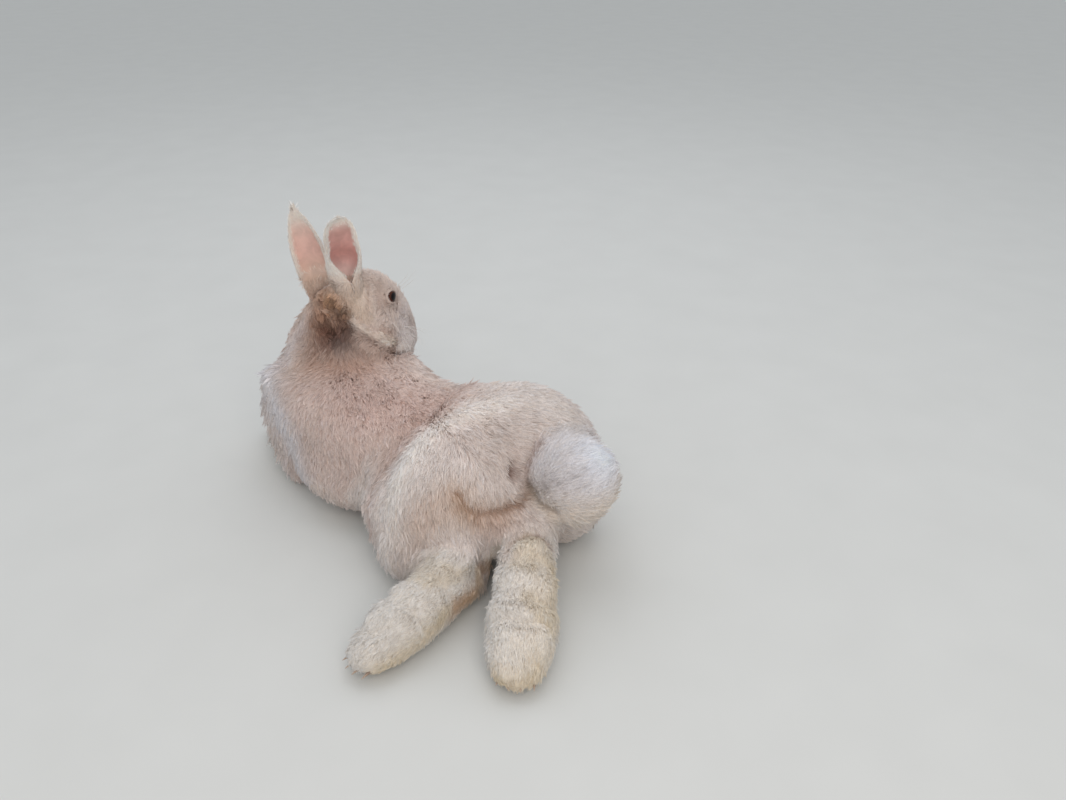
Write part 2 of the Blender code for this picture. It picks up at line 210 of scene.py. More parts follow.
def relaxed(rows, edges, rounds, share=0.5):
    """Rows of a mesh's points, each round moved this share of the way to the mean of their neighbours."""
    n, (a, b) = len(rows), edges.T.astype(int)
    count = np.maximum(np.bincount(edges.ravel(), minlength=n), 1)[:, None]
    for _ in range(rounds):
        sums = [np.bincount(a, column[b], n) + np.bincount(b, column[a], n) for column in rows.T]
        rows = rows + share * (np.stack(sums, axis=1) / count - rows)
    return rows


# ---- meshes


def add_object(name, data, finish=None):
    if finish:
        data.materials.append(finish)
    obj = bpy.data.objects.new(name, data)
    bpy.context.scene.collection.objects.link(obj)
    return obj


def mesh_from(name, points, faces):
    """A smooth-shaded mesh from an array of points and a list of faces."""
    mesh = bpy.data.meshes.new(name)
    mesh.from_pydata(np.asarray(points).tolist(), [], faces)
    mesh.shade_smooth()
    return mesh


def triangle_mesh(name, points, triangles):
    """A smooth-shaded mesh of triangles, filled straight from arrays."""
    mesh = bpy.data.meshes.new(name)
    mesh.vertices.add(len(points))
    mesh.vertices.foreach_set("co", np.ascontiguousarray(points, np.float32).ravel())
    mesh.loops.add(len(triangles) * 3)
    mesh.loops.foreach_set("vertex_index", np.ascontiguousarray(triangles, np.int32).ravel())
    mesh.polygons.add(len(triangles))
    mesh.polygons.foreach_set("loop_start", np.arange(0, len(triangles) * 3, 3, dtype=np.int32))
    mesh.update(calc_edges=True)
    mesh.shade_smooth()
    return mesh


def read(items, key, width, kind=np.float32):
    """One property of a mesh's items, as rows of this width."""
    got = np.empty(len(items) * width, kind)
    items.foreach_get(key, got)
    return got.reshape(-1, width)


def points_of(mesh):
    return read(mesh.vertices, "co", 3).astype(float)


def normals_of(mesh):
    return read(mesh.vertex_normals, "vector", 3).astype(float)


def edges_of(mesh):
    return read(mesh.edges, "vertices", 2, np.int32)


def triangles_of(mesh):
    mesh.calc_loop_triangles()
    return read(mesh.loop_triangles, "vertices", 3, np.int32)


def set_points(mesh, points):
    mesh.vertices.foreach_set("co", np.ascontiguousarray(points, np.float32).ravel())
    mesh.update()


def tint(mesh, colours):
    """Stores a linear colour for each point of the mesh."""
    layer = mesh.color_attributes.new("coat_colour", "FLOAT_COLOR", "POINT")
    full = np.ones((len(colours), 4), np.float32)
    full[:, :3] = colours
    layer.data.foreach_set("color", full.ravel())


def ring_faces(rows, sides, closed_rows=False):
    """Quads of a grid of rows by sides whose sides run round, and whose rows too if closed_rows."""
    r = np.arange(rows if closed_rows else rows - 1)[:, None]
    c = np.arange(sides)[None, :]
    up, over = (r + 1) % rows, (c + 1) % sides
    corners = [r * sides + c, r * sides + over, up * sides + over, up * sides + c]
    return np.stack(corners, axis=-1).reshape(-1, 4)


def closed_faces(rows, sides):
    """Quads of rings of points, and fans that shut them at both ends round two more points, the last two."""
    first, last = np.full(sides, rows * sides), (rows - 1) * sides
    loop = np.arange(sides)
    following = np.roll(loop, -1)
    fans = np.stack([[first, following, loop], [first + 1, last + loop, last + following]])
    return ring_faces(rows, sides).tolist() + fans.transpose(0, 2, 1).reshape(-1, 3).tolist()


def outward(mesh):
    """Turns the faces of a closed mesh outward."""
    shape = bmesh.new()
    shape.from_mesh(mesh)
    bmesh.ops.recalc_face_normals(shape, faces=shape.faces)
    shape.to_mesh(mesh)
    shape.free()
    return mesh


def remeshed(obj, size):
    """Rebuilds the object as one closed surface of small even faces, with no modifier left on it."""
    made = obj.modifiers.new("grid", "REMESH")
    made.mode, made.voxel_size, made.use_smooth_shade = "VOXEL", size, True
    graph = bpy.context.evaluated_depsgraph_get()
    mesh = bpy.data.meshes.new_from_object(obj.evaluated_get(graph))
    obj.modifiers.clear()
    obj.data = mesh
    return obj


# ---- materials


def linear(code):
    """The linear values of an sRGB hex colour."""
    values = np.array([int(code[i : i + 2], 16) for i in (1, 3, 5)]) / 255
    return np.where(values <= 0.04045, values / 12.92, ((values + 0.055) / 1.055) ** 2.4)


def node(tree, kind, settings=(), **inputs):
    """Adds a node. settings are its own properties, and inputs are values or sockets by input name."""
    made = tree.nodes.new(kind)
    for key, value in dict(settings).items():
        setattr(made, key, value)
    for key, value in inputs.items():
        socket = made.inputs[int(key[1:])] if key[0] == "_" else made.inputs[key.replace("_", " ")]
        if isinstance(value, bpy.types.NodeSocket):
            tree.links.new(value, socket)
        else:
            socket.default_value = value
    return made


def clouded(name, size, detail, **shader_values):
    """A new material with a noise of this size in it.

    Returns the material, its tree, its Principled shader with these values set, the noise, and the place.
    """
    made = bpy.data.materials.new(name)
    made.use_nodes = True
    tree = made.node_tree
    shader = tree.nodes["Principled BSDF"]
    for key, value in shader_values.items():
        shader.inputs[key.replace("_", " ")].default_value = value
    place = node(tree, "ShaderNodeTexCoord").outputs["Object"]
    noise = node(tree, "ShaderNodeTexNoise", Vector=place, Scale=1 / size, Detail=detail)
    return made, tree, shader, noise, place


def own_colour(tree, shader, noise, dark, light, low=0.0, high=1.0):
    """Colours the surface as its mesh says, times dark where the noise is low, to light where it is high."""
    own = node(tree, "ShaderNodeAttribute", {"attribute_name": "coat_colour"})
    share = node(tree, "ShaderNodeMapRange", Value=noise.outputs["Fac"], From_Min=low, From_Max=high)
    share.inputs["To Min"].default_value, share.inputs["To Max"].default_value = dark, light
    toned = node(tree, "ShaderNodeVectorMath", {"operation": "SCALE"}, _0=own.outputs["Color"])
    tree.links.new(share.outputs["Result"], toned.inputs["Scale"])
    tree.links.new(toned.outputs["Vector"], shader.inputs["Base Color"])


def two_colours(tree, shader, noise, dark, light):
    """Colours the surface from dark to light as the noise rises."""
    ramp = node(tree, "ShaderNodeValToRGB", Fac=noise.outputs["Fac"])
    for stop, code in zip(ramp.color_ramp.elements, (dark, light)):
        stop.color = (*linear(code), 1)
    tree.links.new(ramp.outputs["Color"], shader.inputs["Base Color"])


def coat_hair():
    """Soft dry hair. Each tuft carries its colour, and a fine grain breaks it as single hairs do."""
    # Single hairs are some 0.05 mm thick. A grain of 0.7 mm is as fine as shows.
    made, tree, shader, grain, _ = clouded(
        "rabbit_hair", 0.7 * MM, 2.0, Roughness=0.80, Specular_IOR_Level=0.09,
        Sheen_Weight=0.09, Sheen_Roughness=0.45, Sheen_Tint=(1.0, 0.88, 0.80, 1.0),
    )
    own_colour(tree, shader, grain, 0.90, 1.10, 0.3, 0.7)
    return made


def bare_skin():
    """Thin living skin. Its colour lies in the mesh, pores and fine creases give it a soft broken gloss."""
    made, tree, shader, vein, place = clouded(
        "rabbit_skin", 6 * MM, 4.0, Roughness=0.55, Specular_IOR_Level=0.35
    )
    vein.inputs["Distortion"].default_value = 0.6
    own_colour(tree, shader, vein, 0.90, 1.08, 0.3, 0.7)
    pores = node(tree, "ShaderNodeTexNoise", Vector=place, Scale=1 / (0.8 * MM), Detail=3.0)
    raised = node(tree, "ShaderNodeBump", Height=pores.outputs["Fac"], Strength=0.35, Distance=0.4 * MM)
    tree.links.new(raised.outputs["Normal"], shader.inputs["Normal"])
    return made


def wet_eye():
    """A dark, wet eyeball: brown iris round a black pupil, under a clear coat with a sharp highlight."""
    made, tree, shader, fibre, _ = clouded(
        "wet_eye", 0.9 * MM, 2.0, Roughness=0.35, Specular_IOR_Level=0.14,
        Coat_Weight=0.12, Coat_Roughness=0.03, Coat_IOR=1.34,
    )
    own_colour(tree, shader, fibre, 0.6, 1.4)
    return made


def claw_horn():
    """Claw horn: grown keratin, greyish brown, paler to the point, with fine streaks and a dull polish."""
    made, tree, shader, streak, _ = clouded(
        "claw_horn", 0.6 * MM, 2.0, Roughness=0.38, Specular_IOR_Level=0.5
    )
    own_colour(tree, shader, streak, 0.75, 1.25)
    raised = node(tree, "ShaderNodeBump", Height=streak.outputs["Fac"], Strength=0.2, Distance=0.1 * MM)
    tree.links.new(raised.outputs["Normal"], shader.inputs["Normal"])
    return made


def whisker_keratin():
    """Whiskers: stiff white hair with a faint silky gloss, clouded a little along its length."""
    made, tree, shader, cloud, _ = clouded(
        "whisker_keratin", 5 * MM, 1.0, Roughness=0.4, Specular_IOR_Level=0.5
    )
    two_colours(tree, shader, cloud, "#d8d2cb", "#f3f0ec")
    return made


def studio_floor():
    """Matt painted board: pale and even, with a faint mottle so that it doesn't look cut out."""
    made, tree, shader, mottle, _ = clouded(
        "matt_board", 60 * MM, 2.0, Roughness=0.9, Specular_IOR_Level=0.2
    )
    two_colours(tree, shader, mottle, "#cfcfcb", "#d5d5d1")
    return made


# ---- the coat's regions

# Each ear: its foot and tip, the way its trough opens, its half width, how far up it is widest, and how blunt
# its tip is.
EAR_AXES = {
    "ear_left": (at(112.2, 12.5, 136), at(124, 25.2, 222.2), (-0.64, 0.67, 0), 14.0 * MM, 0.62, 1.5),
    "ear_right": (at(94.5, -1, 140), at(88.4, 9, 221.5), (-0.97, 0.12, 0), 13.0 * MM, 0.78, 2.3),
}
TAIL_CENTRE = at(-108.5, -51.5, 74.5)


def ear_span(name, *shares):
    """Places these shares of the way from the foot of an ear's axis to its tip."""
    return [mix(*EAR_AXES[name][:2], share) for share in shares]


# Each region: its axis, its radius in mm, and the place that its hair lies away from. Then, in mm, how deep
# the coat stands, and how long and how wide its tufts are. Then how crowded they are against the others, how
# ruffled, how strongly they gather into locks, and the colours of the hair at its tip and at its root.
REGIONS = {
    "head": ((in_head(-28, 0, 1), in_head(36, 0, -12)), 27, in_head(66, 0, -4),
     2.4, 5.6, 0.34, 2.7, 0.26, 0.16, "#efe2da", "#d9c6bb"),
    "ear_left": (ear_span("ear_left", 0.25, 1), 13, *ear_span("ear_left", -0.6),
     1.3, 3.8, 0.28, 2.8, 0.20, 0.10, "#faf1e9", "#ecddd2"),
    "ear_right": (ear_span("ear_right", 0.25, 1), 13, *ear_span("ear_right", -0.6),
     1.3, 3.8, 0.28, 2.8, 0.20, 0.10, "#fcf5ee", "#efe2d8"),
    "ear_root_left": (ear_span("ear_left", -0.02, 0.24), 12, *ear_span("ear_left", 0.75),
     3.0, 7.0, 0.36, 2.2, 0.32, 0.24, "#e4cfbf", "#c3a390"),
    "ear_root_right": (ear_span("ear_right", -0.02, 0.24), 12, *ear_span("ear_right", 0.75),
     3.0, 6.6, 0.34, 2.3, 0.28, 0.20, "#eddfd3", "#d8c2b3"),
    "neck": (trail((126, 2, 82), (114, -10, 118)), 37, at(104, -6, 170),
     4.0, 10.5, 0.42, 1.6, 0.75, 0.40, "#ead9ce", "#b7978a"),
    "chest": (trail((128, 8, 46), (152, 6, 46)), 50, at(135, -4, 140),
     5.0, 12.0, 0.46, 1.0, 0.34, 0.26, "#e4dad5", "#cdbbb3"),
    "trunk": (trail((110, 4, 50), (-6, -22, 50)), 52, at(124, -2, 150),
     3.7, 10.0, 0.40, 1.6, 0.80, 0.36, "#e8d8d0", "#a98a7f"),
    "rump": (trail((-42, -50, 62), (-68, -54, 60)), 58, at(60, 20, 120),
     3.6, 10.5, 0.38, 1.45, 0.46, 0.18, "#dfd5cf", "#c8b5ac"),
    "thigh_left": (trail((-26, 14, 42), (-56, 16, 40)), 50, at(25, -50, 135),
     3.7, 10.5, 0.38, 1.45, 0.46, 0.18, "#e8e0db", "#d0c0b9"),
    "thigh_right": (trail((-40, -78, 28), (-85, -62, 30)), 38, at(-10, -30, 130),
     4.6, 11.0, 0.44, 1.0, 0.36, 0.20, "#e6dcd3", "#d0bfb4"),
    "tail": ((TAIL_CENTRE, TAIL_CENTRE + (0.006, 0, 0)), 30, TAIL_CENTRE + (0.025, 0.040, -0.028),
     5.0, 9.0, 0.32, 2.9, 0.22, 0.05, "#e5e1e2", "#d5cfce"),
    "foot_left": (trail((-87, 40, 22), (-107, 112, 12)), 20, at(-70, 0, 20),
     2.8, 6.4, 0.32, 2.6, 0.34, 0.18, "#ebe7e2", "#dacfc0"),
    "foot_right": (trail((-112, -8, 31), (-174, 47, 12)), 21, at(-85, -40, 30),
     2.8, 6.4, 0.32, 2.6, 0.34, 0.18, "#ede9e4", "#dacfc0"),
    "foreleg_left": (trail((140, 47, 18), (192, 34, 11)), 14, at(60, 52, 50),
     2.4, 6.0, 0.36, 1.8, 0.25, 0.18, "#e9dfd5", "#cfbbae"),
    "foreleg_right": (trail((140, -41, 18), (192, -28, 11)), 14, at(60, -46, 50),
     2.4, 6.0, 0.36, 1.8, 0.25, 0.18, "#e9dfd5", "#cfbbae"),
}
DEPTH, LENGTH, WIDTH, CROWD, RUFFLE, GATHER = range(6)
NUMBER = {name: k for k, name in enumerate(REGIONS)}
# Regions that rule over what else is near them, and how strongly.
RULERS = dict.fromkeys(("tail", "foot_left", "foot_right", "ear_root_left", "ear_root_right"), 0.9)
RULERS |= dict.fromkeys(EARS, 1.0)
HEEL_TO_TOE = {foot: REGIONS[foot][0] for foot in ("foot_left", "foot_right")}
REGION_NUMBERS = np.array([row[3:9] for row in REGIONS.values()], float)
REGION_SOURCES = np.array([row[2] for row in REGIONS.values()])
TIP_COLOURS, ROOT_COLOURS = (np.array([linear(row[k]) for row in REGIONS.values()]) for k in (9, 10))


def region_shares(points, blend=5 * MM):
    """How much each point belongs to each region, as rows that add up to one.

    A region's pull is a bell curve of how far the point lies outside the region's own capsule. Far from
    all of them a faint pull that fades slowly still says which region is nearest.
    """
    pulls = []
    for axis, radius, *_ in REGIONS.values():
        away = along_path(points, axis)[0]
        pulls.append(bell(np.maximum(away - radius * MM, 0), blend) + 1e-5 * np.exp(-away / 0.02))
    pulls = np.stack(pulls, axis=1)
    for ruler, strength in RULERS.items():
        rule = strength * np.clip(pulls[:, NUMBER[ruler]], 0, 1)
        if ruler in EARS:
            rule = rule * step(0.0, 0.25, along_path(points, REGIONS[ruler][0])[1])
        others = np.arange(len(REGIONS)) != NUMBER[ruler]
        pulls[:, others] *= (1 - rule)[:, None]
    return pulls / pulls.sum(axis=1, keepdims=True)


def share_of(shares, *regions):
    """How much each point belongs to these regions together."""
    return sum(shares[:, NUMBER[region]] for region in regions)


def along_skin(ways, normals):
    """Ways turned to lie along the skin."""
    return unit(ways - normals * (ways * normals).sum(axis=1, keepdims=True))


def lie_of_coat(points, normals, shares):
    """The way the hair lies at each point: along the skin, away from each region's source, in slow swirls."""
    away = unit(points[:, None, :] - REGION_SOURCES[None, :, :])
    flow = (away * shares[:, :, None]).sum(axis=1)
    ruffle = (shares @ REGION_NUMBERS[:, RUFFLE])[:, None]
    for size, seed, strength in SWIRLS:
        flow = flow + drift(points, size, seed, 3) * strength * ruffle
    flow = mix(flow, unit(RUFF[0] - RUFF[-1]), 0.92 * near(points, RUFF, 8 * MM)[:, None])
    for centre in EYE_CENTRES.values():  # hair parts round the eyes
        out = points - centre
        close = bell(np.linalg.norm(out, axis=1), EYE_RADIUS * 1.6)
        flow = flow + unit(out) * 1.3 * close[:, None]
    return along_skin(flow, normals)


# ---- markings

# Paths of the markings, of the painted shade and painted highlights, and of the folds, along the surface of
# the coat.
NAPE = trail((96, 17.5, 160), (89, 13.5, 153), (87, 11, 146.5))
NAPE_LOWER = trail((99.5, 19.5, 129), (95, 15, 130), (90, 12.5, 133.5), (85.8, 10.5, 137.2))
NAPE_FADE = trail((108, 26, 145), (99, 30, 108), (80, 8, 106))
RUFF = trail(
    (81.8, 4.5, 136.8), (78.3, 1, 133.8), (75.2, -8.7, 125.3), (84.6, -28, 110.6), (98.5, -48.9, 92.4),
)
# Painted shade just above the ruff, on the cheek fur.
RUFF_TOP_SHADE = trail((83, 2, 142.5), (78.3, -1, 139.8), (76.2, -11, 131.6), (85, -30, 116.8))
RUFF_SHADE = trail(
    (85, 9.8, 133.2), (77.7, 3.4, 128.5), (76.5, -8.7, 118), (80.9, -25.4, 104.8), (92, -44, 90),
)
# Painted shade in the crease between the right ear's foot and the cheek.
EAR_CREASE_SHADE = trail((92.7, -13.8, 164.7), (86.3, -10.4, 157.8), (83, -7, 150.8))
BACK_ROSE = trail((10, -2, 98), (40, 18, 99))
BACK_ROSE_LEFT = trail((85, 33, 100), (60, 30, 96))
# Painted highlight: bluish-white sky light on the left shoulder.
SHOULDER_HIGHLIGHT = trail((142.1, 53.3, 92.4), (132.9, 62.4, 82.1), (100, 65, 61), (78, 68, 32))
NECK_PALE = trail((90, -38, 90), (60, -30, 98), (27, -36, 95))
# Painted shade: darker where the flank's fur tucks in behind the thigh.
CREASE_SHADE = trail((12, -40, 98), (-8, 3, 99), (-5, 27, 81), (-7, 46, 60), (-12, 56, 30))
# Painted highlight: a pale band along the thigh's raised edge, where it catches the light.
THIGH_EDGE_HIGHLIGHT = trail(
    (-49.2, -33.9, 115.4), (-28.9, -9.4, 106.7), (-28, 15.4, 96.8), (-32.8, 35.5, 82.7),
    (-37.8, 50.9, 58.7), (-50, 64, 26),
)
# Painted highlight: the top of the rump lighter where the light falls on it.
RUMP_TOP_HIGHLIGHT = trail((-20, -52, 112), (-50, -60, 117), (-85, -65, 108))
WARM_THIGH = trail((-66, 38, 70), (-60, 52, 55))
# Painted shade: the fold under the thigh's bulge, dark in its middle, with a wider warm tan band of painted
# shade.
CROTCH_SHADE = trail(
    (-74.9, 22.6, 81.4), (-82.2, 20.8, 73.4), (-88.8, 12.7, 66.1), (-92, 0.3, 63.1), (-94.7, -11.2, 65.3),
    (-98.4, -16.9, 69.9),
)
HOCK_ROSE = trail((-95, 6, 56), (-115, 0, 54))
TAIL_SHADE = trail((-90.3, -30, 98), (-93, -21.5, 86.3), (-96, -18, 78.1), (-100, -18, 69))
# Painted shadow: the dark slit under the tail's lower left edge.
TAIL_SLIT_SHADOW = trail(
    (-98.5, -18.5, 74.5), (-100, -19, 72), (-104.5, -21.2, 66.1), (-110.5, -22.2, 64.2), (-116.8, -24, 63),
)
# Painted shade in a small slit in the rump's fur beside the tail.
RUMP_SLIT_SHADE = trail((-83.6, -13.2, 91.9), (-85.5, -12.5, 88.4), (-87.8, -12.4, 84.8))
# Painted shade in the hollow of the rump.
RUMP_HOLLOW_SHADE = trail((-80, -17.5, 100), (-90.8, -14.4, 86.4))
FOOT_STAIN = trail((-92.1, 10.7, 23.5), (-101.6, 24.4, 14.3), (-111.5, 46.4, 17.8))
NAPE_WAVE = trail((108, 20, 156), (103, 20.8, 150), (105, 24.5, 141.1))
CROWN = trail((100, -15, 169), (96.3, -19.2, 164.6), (92, -23.3, 159.1))
# Paler muzzle: partly its own pale fur, partly a painted highlight along its edge.
MUZZLE = trail((101, -48, 122), (97.8, -49.9, 110.7), (95.5, -49.4, 98))
# Painted shade on the knee's steep side, turned away from the light.
KNEE_SHADE = trail((-56.7, 61.9, 32.7), (-70, 56, 40))
EAR_FOOT = trail((92.3, 0.9, 165.3), (85, 0.8, 155.5), (81.2, -1, 145))
# Painted highlight: bright rim light along the left edge of the neck.
NECK_RIM_HIGHLIGHT = trail((118, 33, 142), (122, 38, 125), (130, 44, 108))
# Painted shade above the heel's top edge, where the foot meets the leg.
HEEL_EDGE_SHADE = trail(
    (-109.8, 7.9, 46.7), (-110.8, 1.9, 53.5), (-114, -8, 56.5), (-119, -18.5, 53), (-120.9, -26, 38.5),
)
HEEL_PALE = trail((-112, 6, 50), (-118, -8, 51), (-126, 2, 48))
SOLE_STRAW = [
    trail((-134, -10, 35), (-162, 20, 25), (-185, 44, 12), (-170, 60, 10)),
    trail((-118, 60, 20), (-124, 85, 12), (-120, 108, 8)),
]
NOSE_PLACE = in_head(50, 0, -9.5)
NOSE_SIZE = (5.0 * MM, 3.9 * MM)  # half width and half height
MOUTH = [in_head(50, 0, -13.5), in_head(49.2, 0, -17.2), in_head(46.2, 7, -19)]  # down, and out to the left
MOUTH_RIGHT = MOUTH[:2] + [in_head(46.2, -7, -19)]
MARKINGS = (  # path, radius in mm, colour at the tip and at the root, strength
    # painted highlight of bluish light on the left shoulder
    (SHOULDER_HIGHLIGHT, 15, "#eae9ed", "#d5d0d2", 0.80),
    (BACK_ROSE, 32, "#dcc4bb", "#b3948a", 0.60),
    (BACK_ROSE_LEFT, 20, "#dcc4ba", "#ac8c82", 0.50),
    (NECK_PALE, 11, "#ece0d8", "#d2bdb2", 0.65),
    # painted shade in the crease behind the thigh
    (CREASE_SHADE, 9, "#cfb4a7", "#a5837a", 0.55),
    # painted highlight along the thigh's edge
    (THIGH_EDGE_HIGHLIGHT, 10, "#f6f1ec", "#e2d6ce", 0.80),
    # painted highlight along the top of the rump
    (RUMP_TOP_HIGHLIGHT, 20, "#efe8e2", "#dccfc7", 0.60),
    # painted highlight along the neck's left edge
    (NECK_RIM_HIGHLIGHT, 10, "#f1ecef", "#ded3d2", 0.80),
    (NAPE_FADE, 13, "#c39f8b", "#845a46", 0.60),
    (NAPE_WAVE, 11.5, "#b78f76", "#6f4936", 0.80),
    (NAPE, 10.5, "#c1946f", "#653f29", 0.92),
    (NAPE_LOWER, 12, "#5e2a18", "#190702", 0.97),
    (EAR_FOOT, 8, "#e9dacb", "#cdb4a1", 0.88),
    (RUFF_SHADE, 4.8, "#8a5a44", "#46251a", 0.88),
    # painted shade just above the ruff
    (RUFF_TOP_SHADE, 3.2, "#c9ad9f", "#a08374", 0.60),
    (RUFF, 4.2, "#fbf0e6", "#ead9cb", 0.96),
    (CROWN, 14, "#c9b6aa", "#a89286", 0.70),
    # pale muzzle, partly painted highlight along its edge
    (MUZZLE, 15, "#f1edee", "#ddd5d3", 0.62),
    # painted shade in the crease at the ear's foot
    (EAR_CREASE_SHADE, 3.5, "#b5998a", "#8a6c5d", 0.60),
    # painted shade on the knee's steep side
    (KNEE_SHADE, 16, "#cfc4bd", "#ad9b91", 0.60),
    (WARM_THIGH, 14, "#dcc4b3", "#bd9d88", 0.55),
    # painted shade in the fold under the thigh
    (CROTCH_SHADE, 5, "#a8846c", "#6f4d3a", 0.75),
    # painted shade: a wider warm tan band below the thigh's bulge
    (CROTCH_SHADE[:4], 11.5, "#dcbb9c", "#b08b6a", 0.50),
    (HOCK_ROSE, 13, "#dac6be", "#bba196", 0.60),
    # painted highlight: bluish-white light on the top of the tail
    ([TAIL_CENTRE + (-0.016, -0.008, 0.026)] * 2, 19, "#f4f8ff", "#e9f0fd", 0.97),
    (TAIL_SHADE, 5, "#b39b90", "#84695e", 0.70),
    # painted shadow in the slit under the tail
    (TAIL_SLIT_SHADOW, 4.2, "#6b463b", "#3a211a", 0.93),
    # painted shade in the slit of the rump
    (RUMP_SLIT_SHADE, 3, "#8a6a5c", "#553a30", 0.85),
    (FOOT_STAIN, 7.5, "#c39a6c", "#96693f", 0.75),
    # painted shade above the heel's edge
    (HEEL_EDGE_SHADE, 4.5, "#c3a598", "#93746a", 0.70),
    (HEEL_PALE, 7, "#f4f0e8", "#e6dccf", 0.85),
    # painted shade in the rump's hollow
    (RUMP_HOLLOW_SHADE, 6, "#cdb9ae", "#a58a7d", 0.60),
    (SOLE_STRAW[0], 10, "#dcc9a6", "#b69c70", 0.65),
    (SOLE_STRAW[1], 9, "#dcc9a6", "#b69c70", 0.65),
    ((NOSE_PLACE, NOSE_PLACE), 8.5, "#dcbcb0", "#c79d92", 0.60),
    (MOUTH, 1.8, "#8a5f56", "#5f3b34", 0.90),
    (MOUTH_RIGHT, 1.8, "#8a5f56", "#5f3b34", 0.90),
)


def markings(points, shares):
    """Colours of the hair at its tip and at its root, shared by the coat and the skin. Some marks are painted
    shade in folds and hollows, and some are painted highlights where light falls.
    """
    colours = [shares @ TIP_COLOURS, shares @ ROOT_COLOURS]
    below_tail = step(0.012, -0.014, points[:, 2] - TAIL_CENTRE[2]) * share_of(shares, "tail")
    stained = step(0.1, 0.6, drift(points, 14 * MM, 12)[:, 0]) * share_of(shares, *HEEL_TO_TOE)
    laid = [(near(points, path, radius * MM) * strength, ends) for path, radius, *ends, strength in MARKINGS]
    laid += [(below_tail * 0.85, ("#e9ddd0", "#d6c5b2")), (stained * 0.28, ("#dccba9", "#bba277"))]
    for share, ends in laid:
        colours = [mix(under, linear(over), share[:, None]) for under, over in zip(colours, ends)]
    patches = drift(points, 22 * MM, 11)
    return colours[0] * (1 + 0.06 * patches), colours[1] * (1 + 0.10 * patches)


# ---- the skin

CLAW_FEET = {  # middle of the claw roots, the way they point, the space between them
    "hind_claw_left": (at(-108.8, 119.5, 9.5), (-0.09, 1, 0.10), 6.2 * MM),
    "hind_claw_right": (at(-179, 50.8, 9.5), (-0.66, 0.75, 0.10), 7.0 * MM),
    "fore_claw_left": (at(194.5, 33.5, 9.5), (1, -0.20, -0.25), 6.2 * MM),
    "fore_claw_right": (at(194.5, -27.5, 9.5), (1, 0.20, -0.25), 6.2 * MM),
}

CUT_CLOSING = 0.5 * MM  # growth that closes the cuts between nodes
PRESSED_COAT = 2.2 * MM  # depth of the coat under the body
DRAWING_MOVES = 6


def flesh():
    """All the flesh as one closed surface, grown a little so that the cuts between its nodes close."""
    whole = bmesh.new()
    for name in FLESH + list(EYES):
        part = bmesh.new()
        part.from_mesh(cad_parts[name].data)
        bmesh.ops.remove_doubles(part, verts=part.verts, dist=1e-6)
        mesh = bpy.data.meshes.new(name + "_copy")
        part.to_mesh(mesh)
        part.free()
        set_points(mesh, points_of(mesh) + normals_of(mesh) * CUT_CLOSING)
        whole.from_mesh(mesh)
    mesh = bpy.data.meshes.new("skin")
    whole.to_mesh(mesh)
    whole.free()
    return remeshed(add_object("skin", mesh), SKIN_GRID)


def drawn_in(obj):
    """Draws the surface in by the depth of the coat, in small moves along its own normals."""
    mesh = obj.data
    edges = edges_of(mesh)
    points = relaxed(points_of(mesh), edges, 14)
    set_points(mesh, points)
    depth = region_shares(points) @ REGION_NUMBERS[:, DEPTH] * MM
    under = step(-0.5, -0.9, normals_of(mesh)[:, 2])  # the coat is pressed flat where the body lies on it
    depth = mix(depth, PRESSED_COAT, under * step(12 * MM, 4 * MM, points[:, 2]))
    depth = relaxed(depth[:, None], edges, 12)
    for _ in range(DRAWING_MOVES):
        points = points - normals_of(mesh) * depth / DRAWING_MOVES
        points = relaxed(points, edges, 2, 0.3)
        set_points(mesh, points)
    return remeshed(obj, SKIN_GRID)


LID_HALF_WIDTH, LID_HALF_HEIGHT = math.radians(42), math.radians(34)  # of the opening, seen from the eye
LID_WIDTH = math.radians(18)
SOCKET_GAP = 0.30 * MM  # between the ball and the skin over it
SOCKET_REACH = 0.55 * EYE_RADIUS  # of the skin turned in behind the lids


def eye_axes(side):
    """The way an eye looks, in the head's own frame: out to its side, a little forward and up.

    With it, the ways to its front corner and up that lie square to it.
    """
    look = unit(np.array((0.10, side * 1.0, 0.18)))
    up = unit(np.array((0.0, 0.0, 1.0)) - look * look[2])
    front = np.cross(up, look)
    return look, front * np.sign(front[0]), up


def round_eye(angle, turn, radius, side):
    """Points round an eye's centre, in the model's frame.

    Each lies at this angle from the way the eye looks, at this turn round it from its front corner, and at
    this radius.
    """
    look, front, up = eye_axes(side)
    across, high = np.sin(angle) * np.cos(turn), np.sin(angle) * np.sin(turn)
    way = np.cos(angle)[..., None] * look + across[..., None] * front + high[..., None] * up
    return from_head((EYE_IN_HEAD * (1, side, 1) + radius[..., None] * way).reshape(-1, 3))


def almond(turn):
    """Half angle of the lids' opening at a turn from its front corner: an ellipse with drawn-out corners."""
    opening = 1 / np.sqrt((np.cos(turn) / LID_HALF_WIDTH) ** 2 + (np.sin(turn) / LID_HALF_HEIGHT) ** 2)
    front, back = (np.maximum(sign * np.cos(turn), 0) ** 6 for sign in (1, -1))
    return opening * (1 + 0.10 * front + 0.04 * back)


def eye_angles(points, side):
    """Distance of points from an eye's centre, their angle from its look, and the lids' opening there."""
    out = head_frame(points) - EYE_IN_HEAD * (1, side, 1)
    look, front, up = eye_axes(side)
    away = np.linalg.norm(out, axis=1)
    angle = np.arccos(np.clip(out @ look / np.maximum(away, 1e-9), -1, 1))
    return away, angle, almond(np.arctan2(out @ up, out @ front))


